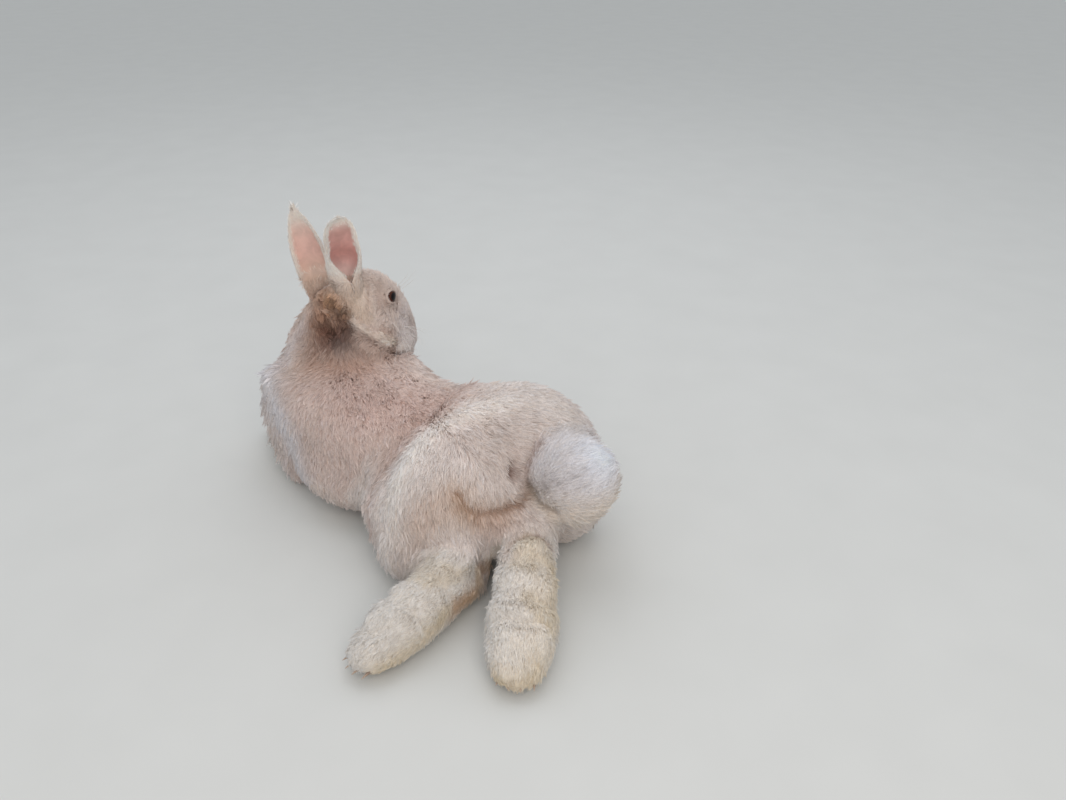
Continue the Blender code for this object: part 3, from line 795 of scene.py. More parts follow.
FOLDS = (  # path, radius and height in mm, below 0 for a dent
    (CREASE_SHADE, 7, -4),
    (THIGH_EDGE_HIGHLIGHT, 9, 2),
    (CROTCH_SHADE, 5.6, -3.4),
    (TAIL_SHADE, 4.2, -3),
    (TAIL_SLIT_SHADOW, 3.6, -4.5),
    (RUMP_SLIT_SHADE, 3, -2.6),
    (RUMP_HOLLOW_SHADE, 8, -2),
    (HEEL_EDGE_SHADE, 3.2, -3),
    (NAPE_LOWER, 6, -3),
    (RUFF, 4.2, 3),
    (RUFF_SHADE, 4.2, -4.4),
    (EAR_CREASE_SHADE, 3.2, -2.2),
    (MOUTH, 2.4, -2.4),
    (MOUTH_RIGHT, 2.4, -2.4),
)
# Folds so narrow that they and their painted shade are laid on the skin itself.
NARROW = (TAIL_SLIT_SHADOW, RUMP_SLIT_SHADE, TAIL_SHADE, CROTCH_SHADE, HEEL_EDGE_SHADE)
ROLL_LENGTH = 23 * MM  # of the soft rolls across a hind foot
ROLL_HEIGHT = 2.2 * MM
TOE_GROOVE = (2.4 * MM, 1.5 * MM)  # radius and depth
TOE_LENGTH = (15 * MM, 26 * MM)  # fore and hind
LOWEST_SKIN = 1.6 * MM


def nearest_to(path, points):
    """Numbers of the points of the skin nearest to a path, each of whose spans is first parted in four."""
    stops = [mix(a, b, part / 4) for a, b in zip(path, path[1:]) for part in range(4)] + [path[-1]]
    return [np.linalg.norm(points - stop, axis=1).argmin() for stop in stops]


def socketed(points, side, centre):
    """Turns the skin in round an eyeball. Returns the points and how far each has gone inside the lids."""
    away, angle, opening = eye_angles(points, side)
    close = step(EYE_RADIUS * 1.9, EYE_RADIUS * 1.5, away) * step(*np.radians((125, 100)), angle)
    inside = step(opening + math.radians(14), opening + math.radians(4), angle) * close
    over_ball = mix(away, np.maximum(away, EYE_RADIUS + SOCKET_GAP), close)
    reach = mix(over_ball, SOCKET_REACH, inside)
    return centre + unit(points - centre) * reach[:, None], inside


def rolled_foot(points, normals, share, path):
    """The sole's fur stands in soft rolls: a sine of the run from the heel, shifted by slow noise."""
    run = along_path(points, path)[1] * np.linalg.norm(path[1] - path[0])
    swell = drift(points, 15 * MM, 51, 2)
    roll = 0.55 * np.sin(2 * np.pi * run / ROLL_LENGTH + 2.6 * swell[:, 0]) + 0.8 * swell[:, 1]
    return points + normals * (ROLL_HEIGHT * roll * share * step(-0.2, 0.5, normals[:, 2]))[:, None]


def toe_grooves(points, normals, foot):
    """Dents the foot along the three lines between its toes."""
    middle, towards, spacing = CLAW_FEET[foot]
    towards = unit(np.array(towards, float) * (1, 1, 0))
    across = np.cross(towards, (0, 0, 1))
    long = TOE_LENGTH["hind" in foot]
    radius, depth = TOE_GROOVE
    for start in [middle + across * gap * spacing for gap in (-1, 0, 1)]:
        groove = [start - towards * long + (0, 0, 0.010), start + (0, 0, 0.004), start - (0, 0, 0.008)]
        points = points - normals * (near(points, groove, radius) * depth)[:, None]
    return points


def sculpted(obj):
    """Works the folds into the skin. Returns how bare of hair each point is."""
    mesh = obj.data
    points, normals = relaxed(points_of(mesh), edges_of(mesh), 3), normals_of(mesh)
    bare = np.zeros(len(points))
    for name, side in EYES.items():
        points, inside = socketed(points, side, EYE_CENTRES[name])
        bare = np.maximum(bare, step(0.2, 0.7, inside))
    numbers = [nearest_to(path, points) for path in NARROW]
    for path, stops in zip(NARROW, numbers):
        path[:] = list(points[stops])
    for path, radius, height in FOLDS:
        points = points + normals * (near(points, path, radius * MM) * height * MM)[:, None]
    for path, stops in zip(NARROW, numbers):
        path[:] = list(points[stops])
    shares = region_shares(points)
    for foot, path in HEEL_TO_TOE.items():
        points = rolled_foot(points, normals, share_of(shares, foot), path)
    for foot in CLAW_FEET:
        points = toe_grooves(points, normals, foot)
    points[:, 2] = np.maximum(points[:, 2], LOWEST_SKIN)
    set_points(mesh, points)
    return bare


EAR_CURLS = {  # half angle of the roll at the foot; how much it opens and between which shares; and once more
    "ear_left": (165, 82, (0.02, 0.34), 36, (0.30, 1.0)),
    "ear_right": (180, 106, (0.33, 0.78), 26, (0.60, 1.0)),
}
EAR_BARE = {  # how far the bare skin of the inner face reaches to either side, up and down, as shares
    "ear_left": (0.88, 0.88, 0.92, 0.36),
    "ear_right": (0.66, 0.86, 0.96, 0.02),
}
EAR_WALL = 0.85 * MM  # half thickness


def ear_skin(name):
    """One ear as a closed leaf rolled into a trough.

    Rows run from foot to tip at s, 0 to 1. Round each row, t crosses the inner face from rim to rim and
    comes back over the outer face. The roll angle shuts the foot and opens the blade, and the wall thins to
    the rim. Returns points, faces, and how bare and dark each point is.
    """
    foot, tip, opening, half_width, widest, blunt = EAR_AXES[name]
    rows, sides = 76, 88
    along = unit(tip - foot)
    length = np.linalg.norm(tip - foot) * 0.975
    out = unit(np.array(opening, float) - along * (np.array(opening, float) @ along))
    side = np.cross(along, out)
    s = (1 - (1 - np.linspace(0, 1, rows)) ** 1.35)[:, None]
    turn = turns(sides)
    t = -np.cos(turn)[None, :]
    face = np.sin(turn)[None, :]  # above 0 on the inner face and below 0 on the outer one
    rise = 0.62 + 0.38 * np.sin(np.pi / 2 * np.clip(s / widest, 0, 1))
    fall = 1 - np.clip((s - widest) / (1 - widest), 0, 1) ** blunt
    chord = (half_width - 1.0 * MM) * rise * np.maximum(fall, 0.004) ** (1 / blunt)
    shut, opens, (low, high), flattens, (start, end) = EAR_CURLS[name]
    curl = np.radians(shut - opens * step(low, high, s) - flattens * step(start, end, s))
    chord = chord * mix(0.82, 1.0, step(0.1, 0.5, s))
    radius = chord / np.where(curl > np.pi / 2, 1.0, np.sin(curl))
    # The rim lips forward a little, and the blade waves slowly along its length and bows back.
    wave = 0.6 * MM * np.sin(9 * s + 2.0 * t) * s
    depth = radius * (1 - np.cos(curl * t)) - 0.5 * radius * (1 - np.cos(curl)) + wave
    depth = depth - 0.05 * length * np.sin(np.pi * s)
    centre = foot + s[..., None] * length * along
    centre = centre + (radius * np.sin(curl * t))[..., None] * side + depth[..., None] * out
    normal = np.cos(curl * t)[..., None] * out - np.sin(curl * t)[..., None] * side
    # Low ribs of gristle run up the inner face.
    ribs = 0.10 * np.cos(5.5 * np.pi * t) * bell(t, 0.6) * np.clip(face, 0, 1) * (1 - s)
    wall = (EAR_WALL * (1.25 - 0.5 * s) * (face + ribs) * np.clip(fall * 6, 0.15, 1))[..., None]
    points = (centre + normal * wall).reshape(-1, 3)
    ends = points[:sides].mean(axis=0), points[-sides:].mean(axis=0) + along * 0.2 * MM
    left, right, top, low = EAR_BARE[name]
    reach = np.where(t < 0, -t / left, t / right) * np.ones_like(s)
    bare = step(0.1, 0.5, face) * step(1.14, 0.78, reach)
    bare = bare * step(top + 0.05, top - 0.12, s) * step(low - 0.12, low + 0.12, s)
    bare = np.append(bare, (0, 0))
    return np.vstack([points, *ends]), closed_faces(rows, sides), bare, 0 * bare


def lid_skin(side):
    """Both eyelids as one closed ring that hugs the eyeball round an almond opening.

    Round the opening runs a. Across the ring, p goes out over the lid from its edge and back beneath it.
    Returns points, faces, and how bare and dark each point is.
    """
    around, profile = 72, 14
    a, p = turns(around)[:, None], turns(profile)[None, :]
    over = (1 - np.cos(p)) / 2  # 0 at the lid's edge, 1 where it meets the face
    swell, hollow = np.maximum(np.sin(p), 0) ** 0.7, np.maximum(-np.sin(p), 0) * over
    radius = EYE_RADIUS + (0.12 + 0.40 * swell - 1.0 * hollow) * MM
    points = round_eye(almond(a) + over * LID_WIDTH, a, radius, side)
    edge = bell(over + 0 * a, 0.10).reshape(-1)
    return points, ring_faces(around, profile, closed_rows=True).tolist(), edge, edge


def nose_skin(points):
    """The bare tip of the nose as a closed lens on the flesh, whose points are given.

    Rings at angle a from its middle, 0 to pi, run over the front and back behind it. The flesh under each
    point is the bell-weighted mean of what lies round it. Two slanted slits are the nostrils, and a groove
    runs down from between them. Returns points, faces, and how bare and dark each point is.
    """
    rings, sides = 44, 72
    a = np.linspace(0.02, np.pi - 0.02, rings)[:, None]
    turn = turns(sides)[None, :]
    middle = head_frame(NOSE_PLACE)
    side = NOSE_SIZE[0] * np.sin(a) * np.cos(turn)
    high = NOSE_SIZE[1] * np.sin(a) * np.sin(turn) * (1 - 0.35 * np.abs(np.cos(turn)) * (np.sin(turn) < 0))
    place = np.vstack([np.stack([side, high], axis=-1).reshape(-1, 2), np.zeros((2, 2))])
    around = head_frame(points)
    around = around[(np.linalg.norm(around - middle, axis=1) < 14 * MM) & (around[:, 0] > 0.034)]
    away = ((place[:, None, :] + middle[1:] - around[None, :, 1:]) ** 2).sum(axis=2)
    weight = np.exp(-away / (1.3 * MM) ** 2) + 1e-9
    forward = (weight * around[None, :, 0]).sum(axis=1) / weight.sum(axis=1)
    face = np.append(np.cos(a + 0 * turn).reshape(-1), (1, -1))
    y, z = np.abs(place[:, 0]) / MM, place[:, 1] / MM
    slit = bell(z - 0.2 - 1.5 * np.clip((y - 1.3) / 2.4, 0, 1) ** 1.5, 0.60)
    slit = slit * step(0.5, 1.3, y) * step(4.2, 3.3, y)
    groove = bell(y, 0.35) * step(0.6, -0.6, z)
    wing = 0.55 * bell(np.hypot(y - 2.6, z + 0.6), 1.7)
    dome = np.abs(face) ** 0.6
    height = np.where(face > 0, 1.15 * dome + wing * face - 1.9 * slit - 1.0 * groove, -1.4 * dome) - 0.3
    local = np.column_stack([forward + height * MM, place + middle[1:]])
    dark = np.where(face > 0, np.maximum(slit, 0.7 * groove), 0)
    return from_head(local), closed_faces(rings, sides), step(0.05, 0.45, face), dark


def skin():
    """Flesh, ears, lids and nose in one mesh. Returns its object, and how bare and dark each point is."""
    obj = drawn_in(flesh())
    bare = sculpted(obj)
    dark = np.zeros(len(bare))
    whole = bmesh.new()
    whole.from_mesh(obj.data)
    extras = [ear_skin(name) for name in EARS] + [lid_skin(side) for side in EYES.values()]
    for points, faces, its_bare, its_dark in extras + [nose_skin(points_of(obj.data))]:
        whole.from_mesh(outward(mesh_from("extra", points, faces)))
        bare, dark = np.append(bare, its_bare), np.append(dark, its_dark)
    whole.to_mesh(obj.data)
    whole.free()
    obj.data.shade_smooth()
    return obj, bare, dark


EAR_ROSE = {  # colours up the inner face of each ear, from its foot
    "left": ("#d6b8a5", "#ddb6aa", "#e4c8bb"),
    "right": ("#f6dcd7", "#dda9a1", "#cca197"),
}


def colour_skin(obj, bare, dark):
    """Skin is the coat's own root colour, rosy inside the ears and dark pink along the lids."""
    points = points_of(obj.data)
    shares = region_shares(points)
    tips, roots = markings(points, shares)
    colours = mix(roots, tips, 0.35)
    for side, (deep, middle, high) in EAR_ROSE.items():
        inside = bare * share_of(shares, "ear_" + side, "ear_root_" + side)
        rise = along_path(points, ear_span("ear_" + side, 0, 1))[1][:, None]
        rosy = mix(linear(deep), linear(middle), step(0.30, 0.62, rise))
        rosy = mix(rosy, linear(high), step(0.62, 0.95, rise))
        colours = mix(colours, rosy * (1 + 0.10 * drift(points, 8 * MM, 61)), inside[:, None])
    nose = step(7.0 * MM, 4.5 * MM, np.linalg.norm(points - NOSE_PLACE, axis=1)) * bare
    colours = mix(colours, linear("#c3a096") * (1 + 0.10 * drift(points, 2 * MM, 63)), nose[:, None])
    tint(obj.data, mix(colours, linear("#4a2b25"), dark[:, None] * 0.85))


# ---- the coat

# Long thin guard hairs stand out of the coat: their share of it, and their size against the other tufts.
GUARD_SHARE = 0.07
GUARD_DEPTH, GUARD_LENGTH, GUARD_WIDTH, GUARD_GATHER = 1.6, 1.22, 0.5, 0.3
SUNK = 0.4 * MM  # roots under the skin
PRESSED_DEPTH = 0.9 * MM  # of the coat that the body lies on
BARE_SLITS = ((TAIL_SLIT_SHADOW, 4.0 * MM), (RUMP_SLIT_SHADE, 2.0 * MM))  # folds by the tail where nothing grows
SHORT_HAIR = (  # paths and radii along which hair is short
    (TAIL_SLIT_SHADOW, 8.5), (TAIL_SLIT_SHADOW, 6.0), (RUMP_SLIT_SHADE, 4.5), (RUFF_SHADE, 3.5), (HEEL_EDGE_SHADE, 3.5), (MOUTH, 3.5),
)
CURL_SIZE = 4.2 * MM  # of the curls on the nape
PATCH = 0.0015  # half width of a tuft's patch on the unwrap
LEAST_TUFTS = 10  # fewer than these make no piece
LOCK_SIZES = ((9.0 * MM, 0.45, 31), (3.4 * MM, 0.75, 32))  # with how strongly each gathers, and its seed


def bend_along(points, normals, triangles, flow):
    """How fast the skin curves away along the hair at each point, from how normals turn in each triangle."""
    a, b, c = (points[triangles[:, k]] for k in range(3))
    flat = np.cross(b - a, c - a)
    area2 = np.maximum(np.linalg.norm(flat, axis=1), 1e-12)
    face = flat / area2[:, None]
    way = unit(flow[triangles].mean(axis=1))
    turning = np.zeros_like(a)
    for k, (opposite_a, opposite_b) in enumerate(((b, c), (c, a), (a, b))):
        slope = np.cross(face, opposite_b - opposite_a) / area2[:, None]
        turning += normals[triangles[:, k]] * (slope * way).sum(axis=1, keepdims=True)
    bend = (turning * way).sum(axis=1)
    total = np.bincount(triangles.ravel(), np.repeat(bend, 3), len(points))
    count = np.maximum(np.bincount(triangles.ravel(), minlength=len(points)), 1)
    return total / count


class Coat:
    """Roots of all the tufts, as arrays: place, skin normal, lie, bend, region shares and hair numbers."""

    def __init__(self, mesh, bare, draw):
        points, normals, triangles = points_of(mesh), normals_of(mesh), triangles_of(mesh)
        shares = region_shares(points)
        flow = lie_of_coat(points, normals, shares)
        bend = relaxed(bend_along(points, normals, triangles, flow)[:, None], edges_of(mesh), 8)[:, 0]
        a, b, c = (points[triangles[:, k]] for k in range(3))
        area = np.linalg.norm(np.cross(b - a, c - a), axis=1) / 2
        crowd = shares @ REGION_NUMBERS[:, CROWD]
        crowd = crowd * (1 - bare) ** 2
        for slit, radius in BARE_SLITS:
            crowd = crowd * (1 - 0.95 * near(points, slit, radius))
        crowd = crowd * mix(1.0, 0.30, step(-0.3, -0.8, normals[:, 2]) * step(0.03, 0.01, points[:, 2]))
        weight = area * crowd[triangles].mean(axis=1)
        chosen = np.searchsorted(np.cumsum(weight) / weight.sum(), draw.random(TUFTS))
        chosen = np.minimum(chosen, len(triangles) - 1)
        u, v = draw.random(TUFTS), draw.random(TUFTS)
        u, v = np.where(u + v > 1, 1 - u, u), np.where(u + v > 1, 1 - v, v)
        parts = np.stack([1 - u - v, u, v], axis=1)

        def spread(values):
            return (values[triangles[chosen]] * parts.reshape(-1, 3, *[1] * (values.ndim - 1))).sum(axis=1)

        self.root, self.normal, self.shares = spread(points), unit(spread(normals)), spread(shares)
        self.bend = np.clip(spread(bend), -1 / 0.06, 1 / 0.012)
        self.numbers = self.shares @ REGION_NUMBERS
        self.lie = lie_of_coat(self.root, self.normal, self.shares)


def grow_coat(mesh, bare):
    """Works out every tuft. Returns root, left, right and tip places with their normals and colours.

    A tuft is a thin closed kite of four triangles: a root, a left and a right shoulder, and a tip. It leaves
    the skin along the lie, rises to the depth of the coat and follows the curve of the body. Tips within one
    lock lean towards the middle of that lock.
    """
    draw = np.random.default_rng(SEED)
    coat = Coat(mesh, bare, draw)
    n, normal, root, numbers = TUFTS, coat.normal, coat.root, coat.numbers
    nape = np.maximum(near(root, NAPE + NAPE_WAVE, 10 * MM), near(root, NAPE_LOWER, 11 * MM))
    nape = nape * (1 - near(root, RUFF, 4.5 * MM)) * (1 - near(root, EAR_FOOT, 6 * MM))
    curl = locks(wavered(root, 5 * MM, 73, 1.2 * MM), CURL_SIZE, 71)
    lot = [scatter(np.stack([curl, 0 * curl + k, 0 * curl], axis=1), 77) for k in range(4)]
    ruffle = (numbers[:, RUFFLE] + 1.1 * nape) * (1 - 0.7 * near(root, RUFF, 6 * MM))
    fine = 0.5 * share_of(coat.shares, "head") + share_of(coat.shares, *EARS)
    guard = draw.random(n) < GUARD_SHARE * (1 - np.minimum(fine, 1))

    # Hair shortens to the eyes, the nose and the lips, and in the folds.
    short = mix(0.28, 1.0, step(0.005, 0.030, np.linalg.norm(root - NOSE_PLACE, axis=1)))
    for centre in EYE_CENTRES.values():
        away = np.linalg.norm(root - centre, axis=1) / EYE_RADIUS
        short = np.minimum(short, mix(0.30, 1.0, step(1.0, 2.4, away)))
    for fold, radius in SHORT_HAIR:
        short = short * (1 - 0.60 * near(root, fold, radius * MM))
    grown = 1 + 0.35 * nape + 1.2 * near(root, ear_span("ear_left", 1, 1), 6 * MM)
    length = numbers[:, LENGTH] * MM * short * grown * (0.72 + 0.55 * draw.random(n))
    length = length * (1 + 0.15 * drift(root, 12 * MM, 21)[:, 0])
    depth = numbers[:, DEPTH] * MM * short * (0.70 + 0.45 * draw.random(n) ** 1.5)
    depth = depth * (1 + 0.14 * drift(root, 7 * MM, 22)[:, 0])
    # The gristle of an ear fills the region at its root, so the hair lies close there.
    depth = depth * (1 - 0.50 * share_of(coat.shares, "ear_root_left", "ear_root_right"))
    depth = depth * (1 + 0.9 * nape * (0.4 + lot[0])) * np.where(guard, GUARD_DEPTH, 1.0)
    length = length * np.where(guard, GUARD_LENGTH, 1.0)
    pressed = step(-0.25, -0.75, normal[:, 2]) * step(0.03, 0.01, root[:, 2])
    depth = np.minimum(mix(depth, PRESSED_DEPTH, pressed), length * 0.8)

    lie = coat.lie + draw.normal(size=(n, 3)) * (0.10 + 0.22 * ruffle)[:, None]
    lie = along_skin(lie + (2 * np.stack(lot[:3], axis=1) - 1) * 1.3 * nape[:, None], normal)
    reach = np.sqrt(np.maximum(length**2 - depth**2, (0.3 * length) ** 2))
    drop = np.clip(coat.bend * reach**2 / 2, -0.25 * length, 0.6 * length)
    tip = root + lie * reach[:, None] + normal * (depth - drop)[:, None]
    for size, share, seed in LOCK_SIZES:
        group = locks(wavered(root, 6 * MM, seed + 5, 1.5 * MM), size, seed)
        gather = np.clip(numbers[:, GATHER] * share * (1 + 1.6 * nape), 0, 0.85)
        gather = gather * np.where(guard, GUARD_GATHER, 1.0)
        tip = mix(tip, gathered(tip, group, 0.35), gather[:, None])
    tip = mix(tip, gathered(tip, curl, 0.4), (0.75 * nape)[:, None])

    rise = (depth * 0.14 + np.clip(coat.bend, 0, None) * reach**2 / 8)[:, None]
    middle = root + (tip - root) * 0.5 + normal * rise
    middle = middle + draw.normal(size=(n, 3)) * (length * 0.03 * (1 + ruffle))[:, None]
    line = unit(tip - root)
    across = unit(np.cross(line, normal))
    roll = (draw.normal(size=n) * 0.35)[:, None]
    across = across * np.cos(roll) + np.cross(line, across) * np.sin(roll)
    half = numbers[:, WIDTH] * MM * (0.6 + 0.8 * draw.random(n)) * mix(0.6, 1.0, short) / 2
    half = (half * np.where(guard, GUARD_WIDTH, 1.0))[:, None]
    left, right = middle - across * half, middle + across * half
    for place in (left, right, tip):
        place[:, 2] = np.maximum(place[:, 2], FLOOR_CLEARANCE + 0.3 * MM * draw.random(n))
    root = root - normal * SUNK
    root[:, 2] = np.maximum(root[:, 2], FLOOR_CLEARANCE)

    shine = unit(normal * 0.9 + line * 0.15)
    turned = [unit(normal), unit(shine - across * 0.35), unit(shine + across * 0.35)]
    turned += [unit(normal * 0.8 + line * 0.30)]
    tips, roots = markings(coat.root, coat.shares)
    light = (1 + 0.05 * draw.normal(size=n) + 0.05 * drift(coat.root, 3.5 * MM, 41)[:, 0])[:, None]
    light = light + draw.normal(size=(n, 1)) * np.array((0.012, 0.0, -0.016))  # some tufts warmer than others
    dark = (draw.random(n) < 0.04)[:, None] * 0.15
    dark = dark + (nape * (1.15 * lot[3] - 0.50))[:, None] * (0.82, 0.78, 0.74)
    tips = np.clip(tips * light * (1 - dark), 0.01, 0.95)
    roots = np.clip(roots * light, 0.01, 0.95)
    shades = [roots, mix(roots, tips, 0.62), mix(roots, tips, 0.62), tips]
    return coat, (root, left, right, tip), turned, shades


def unwrapped(points, region):
    """Places on an unwrap of the skin's own shape, 0 to 1 both ways: round the region's axis and along it."""
    (a, *_, b), radius = REGIONS[region][0], REGIONS[region][1] * MM
    axis = unit(b - a)
    side = unit(np.cross(axis, (0.3, 0.2, 1.0)))
    out = points - a
    tall, x, y = out @ axis, out @ side, out @ np.cross(axis, side)
    along = np.clip(tall, 0, np.linalg.norm(b - a))
    rows = along + np.arctan2(tall - along, np.hypot(x, y)) * radius
    turn = np.arctan2(x, y) / (2 * np.pi) + 0.5
    low, high = rows.min(), rows.max()
    return np.stack([0.01 + 0.98 * turn, 0.01 + 0.98 * (rows - low) / max(high - low, 1e-6)], axis=1)


def coat_pieces(finish, mesh, bare):
    """The coat as joined meshes, one or more for each region of the body, each with its region's name."""
    coat, corners, turned, shades = grow_coat(mesh, bare)
    main = coat.shares.argmax(axis=1)
    across_body = unit(np.array((1.0, 0.15, 0.05)))
    made = []
    for number, region in enumerate(REGIONS):
        chosen = np.flatnonzero(main == number)
        parts = max(1, math.ceil(len(chosen) / PIECE_TUFTS))
        order = np.argsort(coat.root[chosen] @ across_body, kind="stable")
        for part, some in enumerate(np.array_split(chosen[order], parts)):
            if len(some) < LEAST_TUFTS:
                continue
            name = "coat_" + region + (f"_{part + 1}" if parts > 1 else "")
            tufts = [np.stack([rows[some] for rows in four], axis=1) for four in (corners, turned, shades)]
            patches = unwrapped(coat.root[some], region)
            made.append((coat_piece(name, *tufts, patches, finish), region))
    return made


def coat_piece(name, points, normals, colours, patches, finish):
    """One joined mesh of tufts, with their normals, colours and patches on the unwrapped skin."""
    n = len(points)
    root, left, right, tip = (points[:, k] for k in range(4))
    volume = (np.cross(left - root, right - root) * (tip - root)).sum(axis=1)
    faces = np.array(((0, 1, 2), (1, 3, 2), (0, 3, 1), (0, 2, 3)))
    pattern = np.where((volume > 0)[:, None, None], faces[None, :, ::-1], faces[None])
    triangles = (np.arange(n) * 4)[:, None, None] + pattern
    mesh = triangle_mesh(name, points.reshape(-1, 3), triangles.reshape(-1, 3))
    tint(mesh, colours.reshape(-1, 3))
    kite = np.array(((0, -1), (-1, 0), (1, 0), (0, 1))) * PATCH
    uv = (patches[:, None, :] + kite[None]).reshape(-1, 2)
    order = read(mesh.loops, "vertex_index", 1, np.int32)[:, 0]
    layer = mesh.uv_layers.new(name="OFBake")
    layer.uv.foreach_set("vector", uv[order].astype(np.float32).ravel())
    # Faces take the skin's normals, bent just enough to stay on their own side, so the coat shades softly.
    each = np.arange(n)[:, None, None]
    corner, soft = points[each, pattern], normals[each, pattern]
    flat = unit(np.cross(corner[:, :, 1] - corner[:, :, 0], corner[:, :, 2] - corner[:, :, 0]))[:, :, None]
    behind = np.maximum(0.25 - (flat * soft).sum(axis=-1, keepdims=True), 0)
    mesh.normals_split_custom_set(unit(soft + flat * (behind + 0.12)).reshape(-1, 3).astype(np.float32))
    return add_object(name, mesh, finish)


# ---- eyes, claws and whiskers

BALL_GAP = 0.15 * MM  # under the lids
CORNEA = 0.35 * MM  # rise over the ball
CLAW_LENGTH, CLAW_RADIUS = 8.8 * MM, 1.25 * MM
WHISKER_RADIUS = 0.17 * MM


def eyeball(name, side, finish):
    """An eyeball with a raised cornea, on a grid of rings round the way it looks.

    The radius grows by a bell curve of the angle from the eye's axis, and the colour goes from pupil to iris
    to a dark rim by the same angle.
    """
    rings, sides = 40, 56
    turn = turns(sides)[None, :]
    angle = np.linspace(0.02, np.pi - 0.02, rings)[:, None] + 0 * turn
    radius = EYE_RADIUS - BALL_GAP + CORNEA * bell(angle, 0.75)
    ends = round_eye(np.array((0, np.pi)), 0, radius[(0, -1), 0], side)
    points = np.vstack([round_eye(angle, turn, radius, side), ends])
    mesh = outward(mesh_from(name + "_ball", points, closed_faces(rings, sides)))
    far = np.append(angle.reshape(-1), (0, np.pi))[:, None]
    colours = mix(linear("#080505"), linear("#4c2b1f"), step(0.40, 0.48, far))
    tint(mesh, mix(colours, linear("#2a1812"), step(0.70, 0.92, far)))
    return add_object(name + "_ball", mesh, finish)


def swept(paths, radii, sides):
    """Closed round tubes along many paths at once, each of n places with n radii, domed shut at both ends."""
    count, n, _ = paths.shape
    along = unit(np.gradient(paths, axis=1))
    side = unit(np.cross(along, np.array((0.21, 0.33, 0.92))))
    other = np.cross(along, side)
    turn = turns(sides)
    ring = side[:, :, None, :] * np.cos(turn)[:, None] + other[:, :, None, :] * np.sin(turn)[:, None]
    body = (paths[:, :, None, :] + ring * radii[:, :, None, None]).reshape(count, n * sides, 3)
    ends = paths[:, (0, -1)] + along[:, (0, -1)] * np.stack([-radii[:, 0], radii[:, -1]], axis=1)[..., None]
    shell = closed_faces(n, sides)
    triangles = np.array([(f[0], f[k], f[k + 1]) for f in shell for k in range(1, len(f) - 1)])
    faces = triangles[None] + (np.arange(count) * (n * sides + 2))[:, None, None]
    return np.concatenate([body, ends], axis=1).reshape(-1, 3), faces.reshape(-1, 3)


def claws(foot, finish):
    """The four claws of a foot: horn cones swept along a line that curves down to the point."""
    middle, towards, spacing = CLAW_FEET[foot]
    towards = unit(np.array(towards, float))
    across = unit(np.cross(towards, (0, 0, 1)))
    steps = np.array((-1.5, -0.5, 0.5, 1.5))[:, None]
    roots = middle + across * steps * spacing - towards * 1.2 * MM * steps**2
    aims = unit(towards + across * 0.10 * steps)
    s = np.linspace(0, 1, 12)[None, :, None]
    arch = np.array((0, 0, 1)) * (0.5 * np.sin(np.pi * s) - 0.9 * s**2) * MM
    paths = roots[:, None] + aims[:, None] * s * CLAW_LENGTH + arch
    radii = CLAW_RADIUS * (1 - s[..., 0] ** 1.6 * 0.88) * np.ones((4, 1))
    mesh = outward(triangle_mesh(foot + "s", *swept(paths, radii, 12)))
    share = np.tile(np.append(np.repeat(s[0, :, 0], 12), (0, 1)), 4)[:, None]
    tint(mesh, mix(linear("#6d5648"), linear("#b7a08c"), share))
    return add_object(foot + "s", mesh, finish)


def whiskers(side, finish):
    """Whiskers of one side: long stiff hairs from the muzzle pad, and a few over the eye and on the cheek.

    Each is a curve from its root, out and back, with a droop that grows with the square of its length.
    """
    draw = np.random.default_rng(SEED + side + 5)
    r, c = (grid.reshape(-1) for grid in np.indices((4, 5)))  # rows and columns on the pad
    pad = np.stack([34 - 4.2 * c - r, 15 + 0.8 * c, -6 - 3.5 * r], axis=1) * MM
    brow = np.array([(6 - 3 * k, 18.5, 22.5 + 0.8 * k) for k in range(3)] + [(-4, 27, -6)]) * MM
    roots = np.vstack([pad, brow]) * (1, side, 1)
    n = len(roots)
    reach = np.append(26 + 5 * c, (22, 26, 22, 24)) * MM * (0.85 + 0.3 * draw.random(n))
    way = np.stack([0.20 - 0.14 * c, 1.0 + 0 * c, 0.10 - 0.22 * r], axis=1)
    way = np.vstack([way, [(-0.05, 0.8, 0.9)] * 3 + [(-0.4, 1.0, 0.1)]])
    way = unit((way + draw.normal(size=(n, 3)) * 0.09) * (1, side, 1))
    s = np.linspace(0, 1, 10)[None, :, None]
    bow = np.array((-0.30, 0, -0.16)) + draw.normal(size=(n, 1, 3)) * 0.05
    paths = roots[:, None] + reach[:, None, None] * (way[:, None] * s + bow * s**2)
    radii = WHISKER_RADIUS * (1 - 0.85 * s[..., 0]) * np.ones((n, 1))
    name = "whiskers_left" if side > 0 else "whiskers_right"
    return add_object(name, outward(triangle_mesh(name, *swept(from_head(paths), radii, 5))), finish)


# ---- the studio

SENSOR_WIDTH, FOCAL_LENGTH = 36.0, 30.394  # in mm, for a field of view some 61 degrees wide
HEADING, PITCH = math.radians(-38), math.radians(30)  # of the camera's look: from +X, and below level
FLOOR_HALF = 30.0  # half width of the floor, in metres


def camera():
    """Above and behind the rabbit's left hip, looking down along its back."""
    data = bpy.data.cameras.new("camera")
    data.sensor_fit, data.sensor_width, data.lens = "HORIZONTAL", SENSOR_WIDTH, FOCAL_LENGTH
    data.clip_start, data.clip_end = 0.01, 20
    obj = add_object("camera", data)
    ahead = (math.cos(HEADING) * math.cos(PITCH), math.sin(HEADING) * math.cos(PITCH), -math.sin(PITCH))
    obj.location = at(-490.6, 281.8, 430)
    obj.rotation_euler = Vector(ahead).to_track_quat("-Z", "Y").to_euler()
    bpy.context.scene.camera = obj


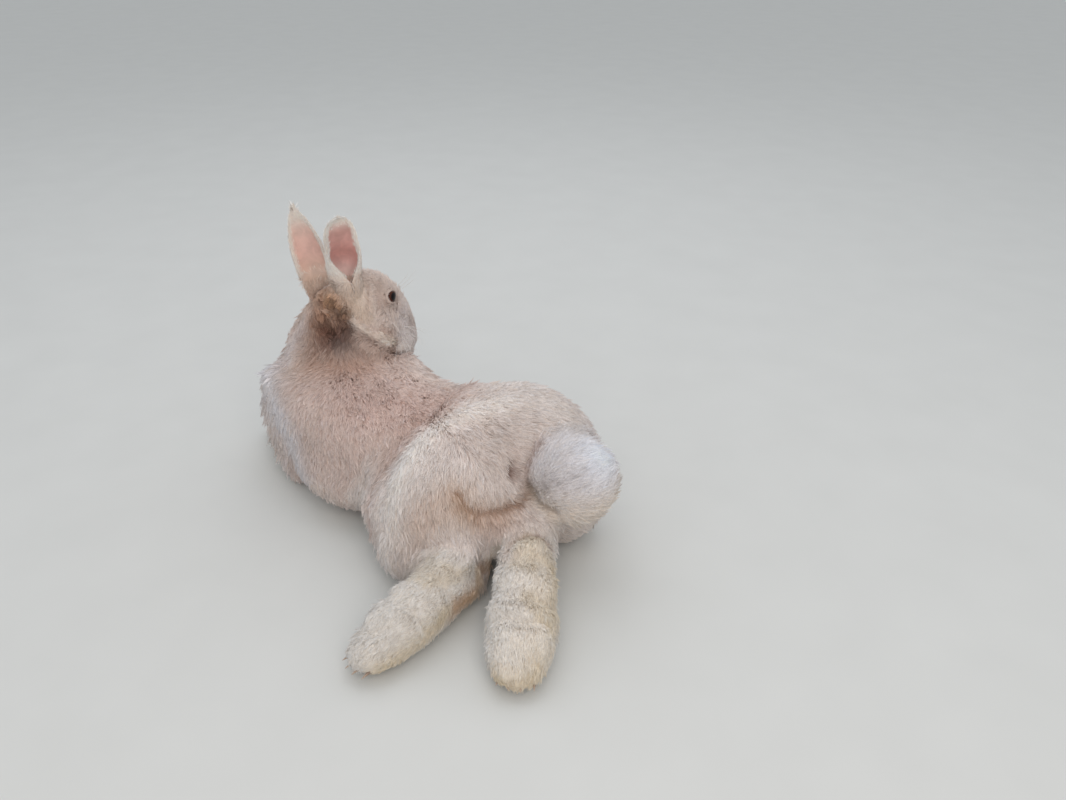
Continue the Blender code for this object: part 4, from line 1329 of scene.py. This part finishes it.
def lamp(name, place, aim, size, power, colour):
    """A large soft square lamp that faces a place."""
    data = bpy.data.lights.new(name, "AREA")
    data.shape, data.size, data.energy, data.color = "SQUARE", size, power, tuple(linear(colour))
    obj = add_object(name, data)
    obj.location = place
    obj.rotation_euler = (Vector(aim) - Vector(place)).to_track_quat("-Z", "Y").to_euler()


def studio():
    """Even soft light from a pale room, with a broad cool lamp overhead and a warm one on the near side."""
    world = bpy.data.worlds.new("studio")
    world.use_nodes = True
    sky = world.node_tree.nodes["Background"]
    sky.inputs["Color"].default_value = (*linear("#dfe3e8"), 1)
    sky.inputs["Strength"].default_value = 0.84
    bpy.context.scene.world = world
    bpy.context.scene.view_settings.view_transform = "Standard"
    middle = (0, 0, 0.05)
    lamp("overhead", (0.35, -0.30, 1.30), middle, 1.2, 4.5, "#f6f8ff")
    lamp("near_side", (-0.95, 0.45, 0.90), middle, 1.0, 6.0, "#fff6ee")
    corners = np.array([(-1, -1, 0), (1, -1, 0), (1, 1, 0), (-1, 1, 0)]) * FLOOR_HALF
    floor = add_object("floor", mesh_from("floor", corners, [(0, 1, 2, 3)]), studio_floor())


# ---- the model


def main():
    camera()
    studio()
    body, bare, dark = skin()
    colour_skin(body, bare, dark)
    body.data.materials.clear()
    body.data.materials.append(bare_skin())
    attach(body, "root")
    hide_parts(*FLESH, *EARS)
    slots = {"head": "coat_face", "ear_left": "ear_skin", "ear_right": "ear_skin", "tail": "coat_white"}
    slots |= {"foot_left": "coat_foot", "foot_right": "coat_foot"}
    slots |= {name: "coat_cream" for name in ("thigh_left", "thigh_right", "foreleg_left", "foreleg_right")}
    for piece, region in coat_pieces(coat_hair(), body.data, bare):
        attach(piece, "root")
    eye_finish, horn, keratin = wet_eye(), claw_horn(), whisker_keratin()
    for name, side in EYES.items():
        ball = eyeball(name, side, eye_finish)
        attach(ball, "root")
        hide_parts(name)
    for foot in CLAW_FEET:
        piece = claws(foot, horn)
        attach(piece, "root")
        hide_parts(*[f"{foot}_{k}" for k in (1, 2, 3, 4)])
    for side in EYES.values():
        piece = whiskers(side, keratin)
        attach(piece, "root")


main()
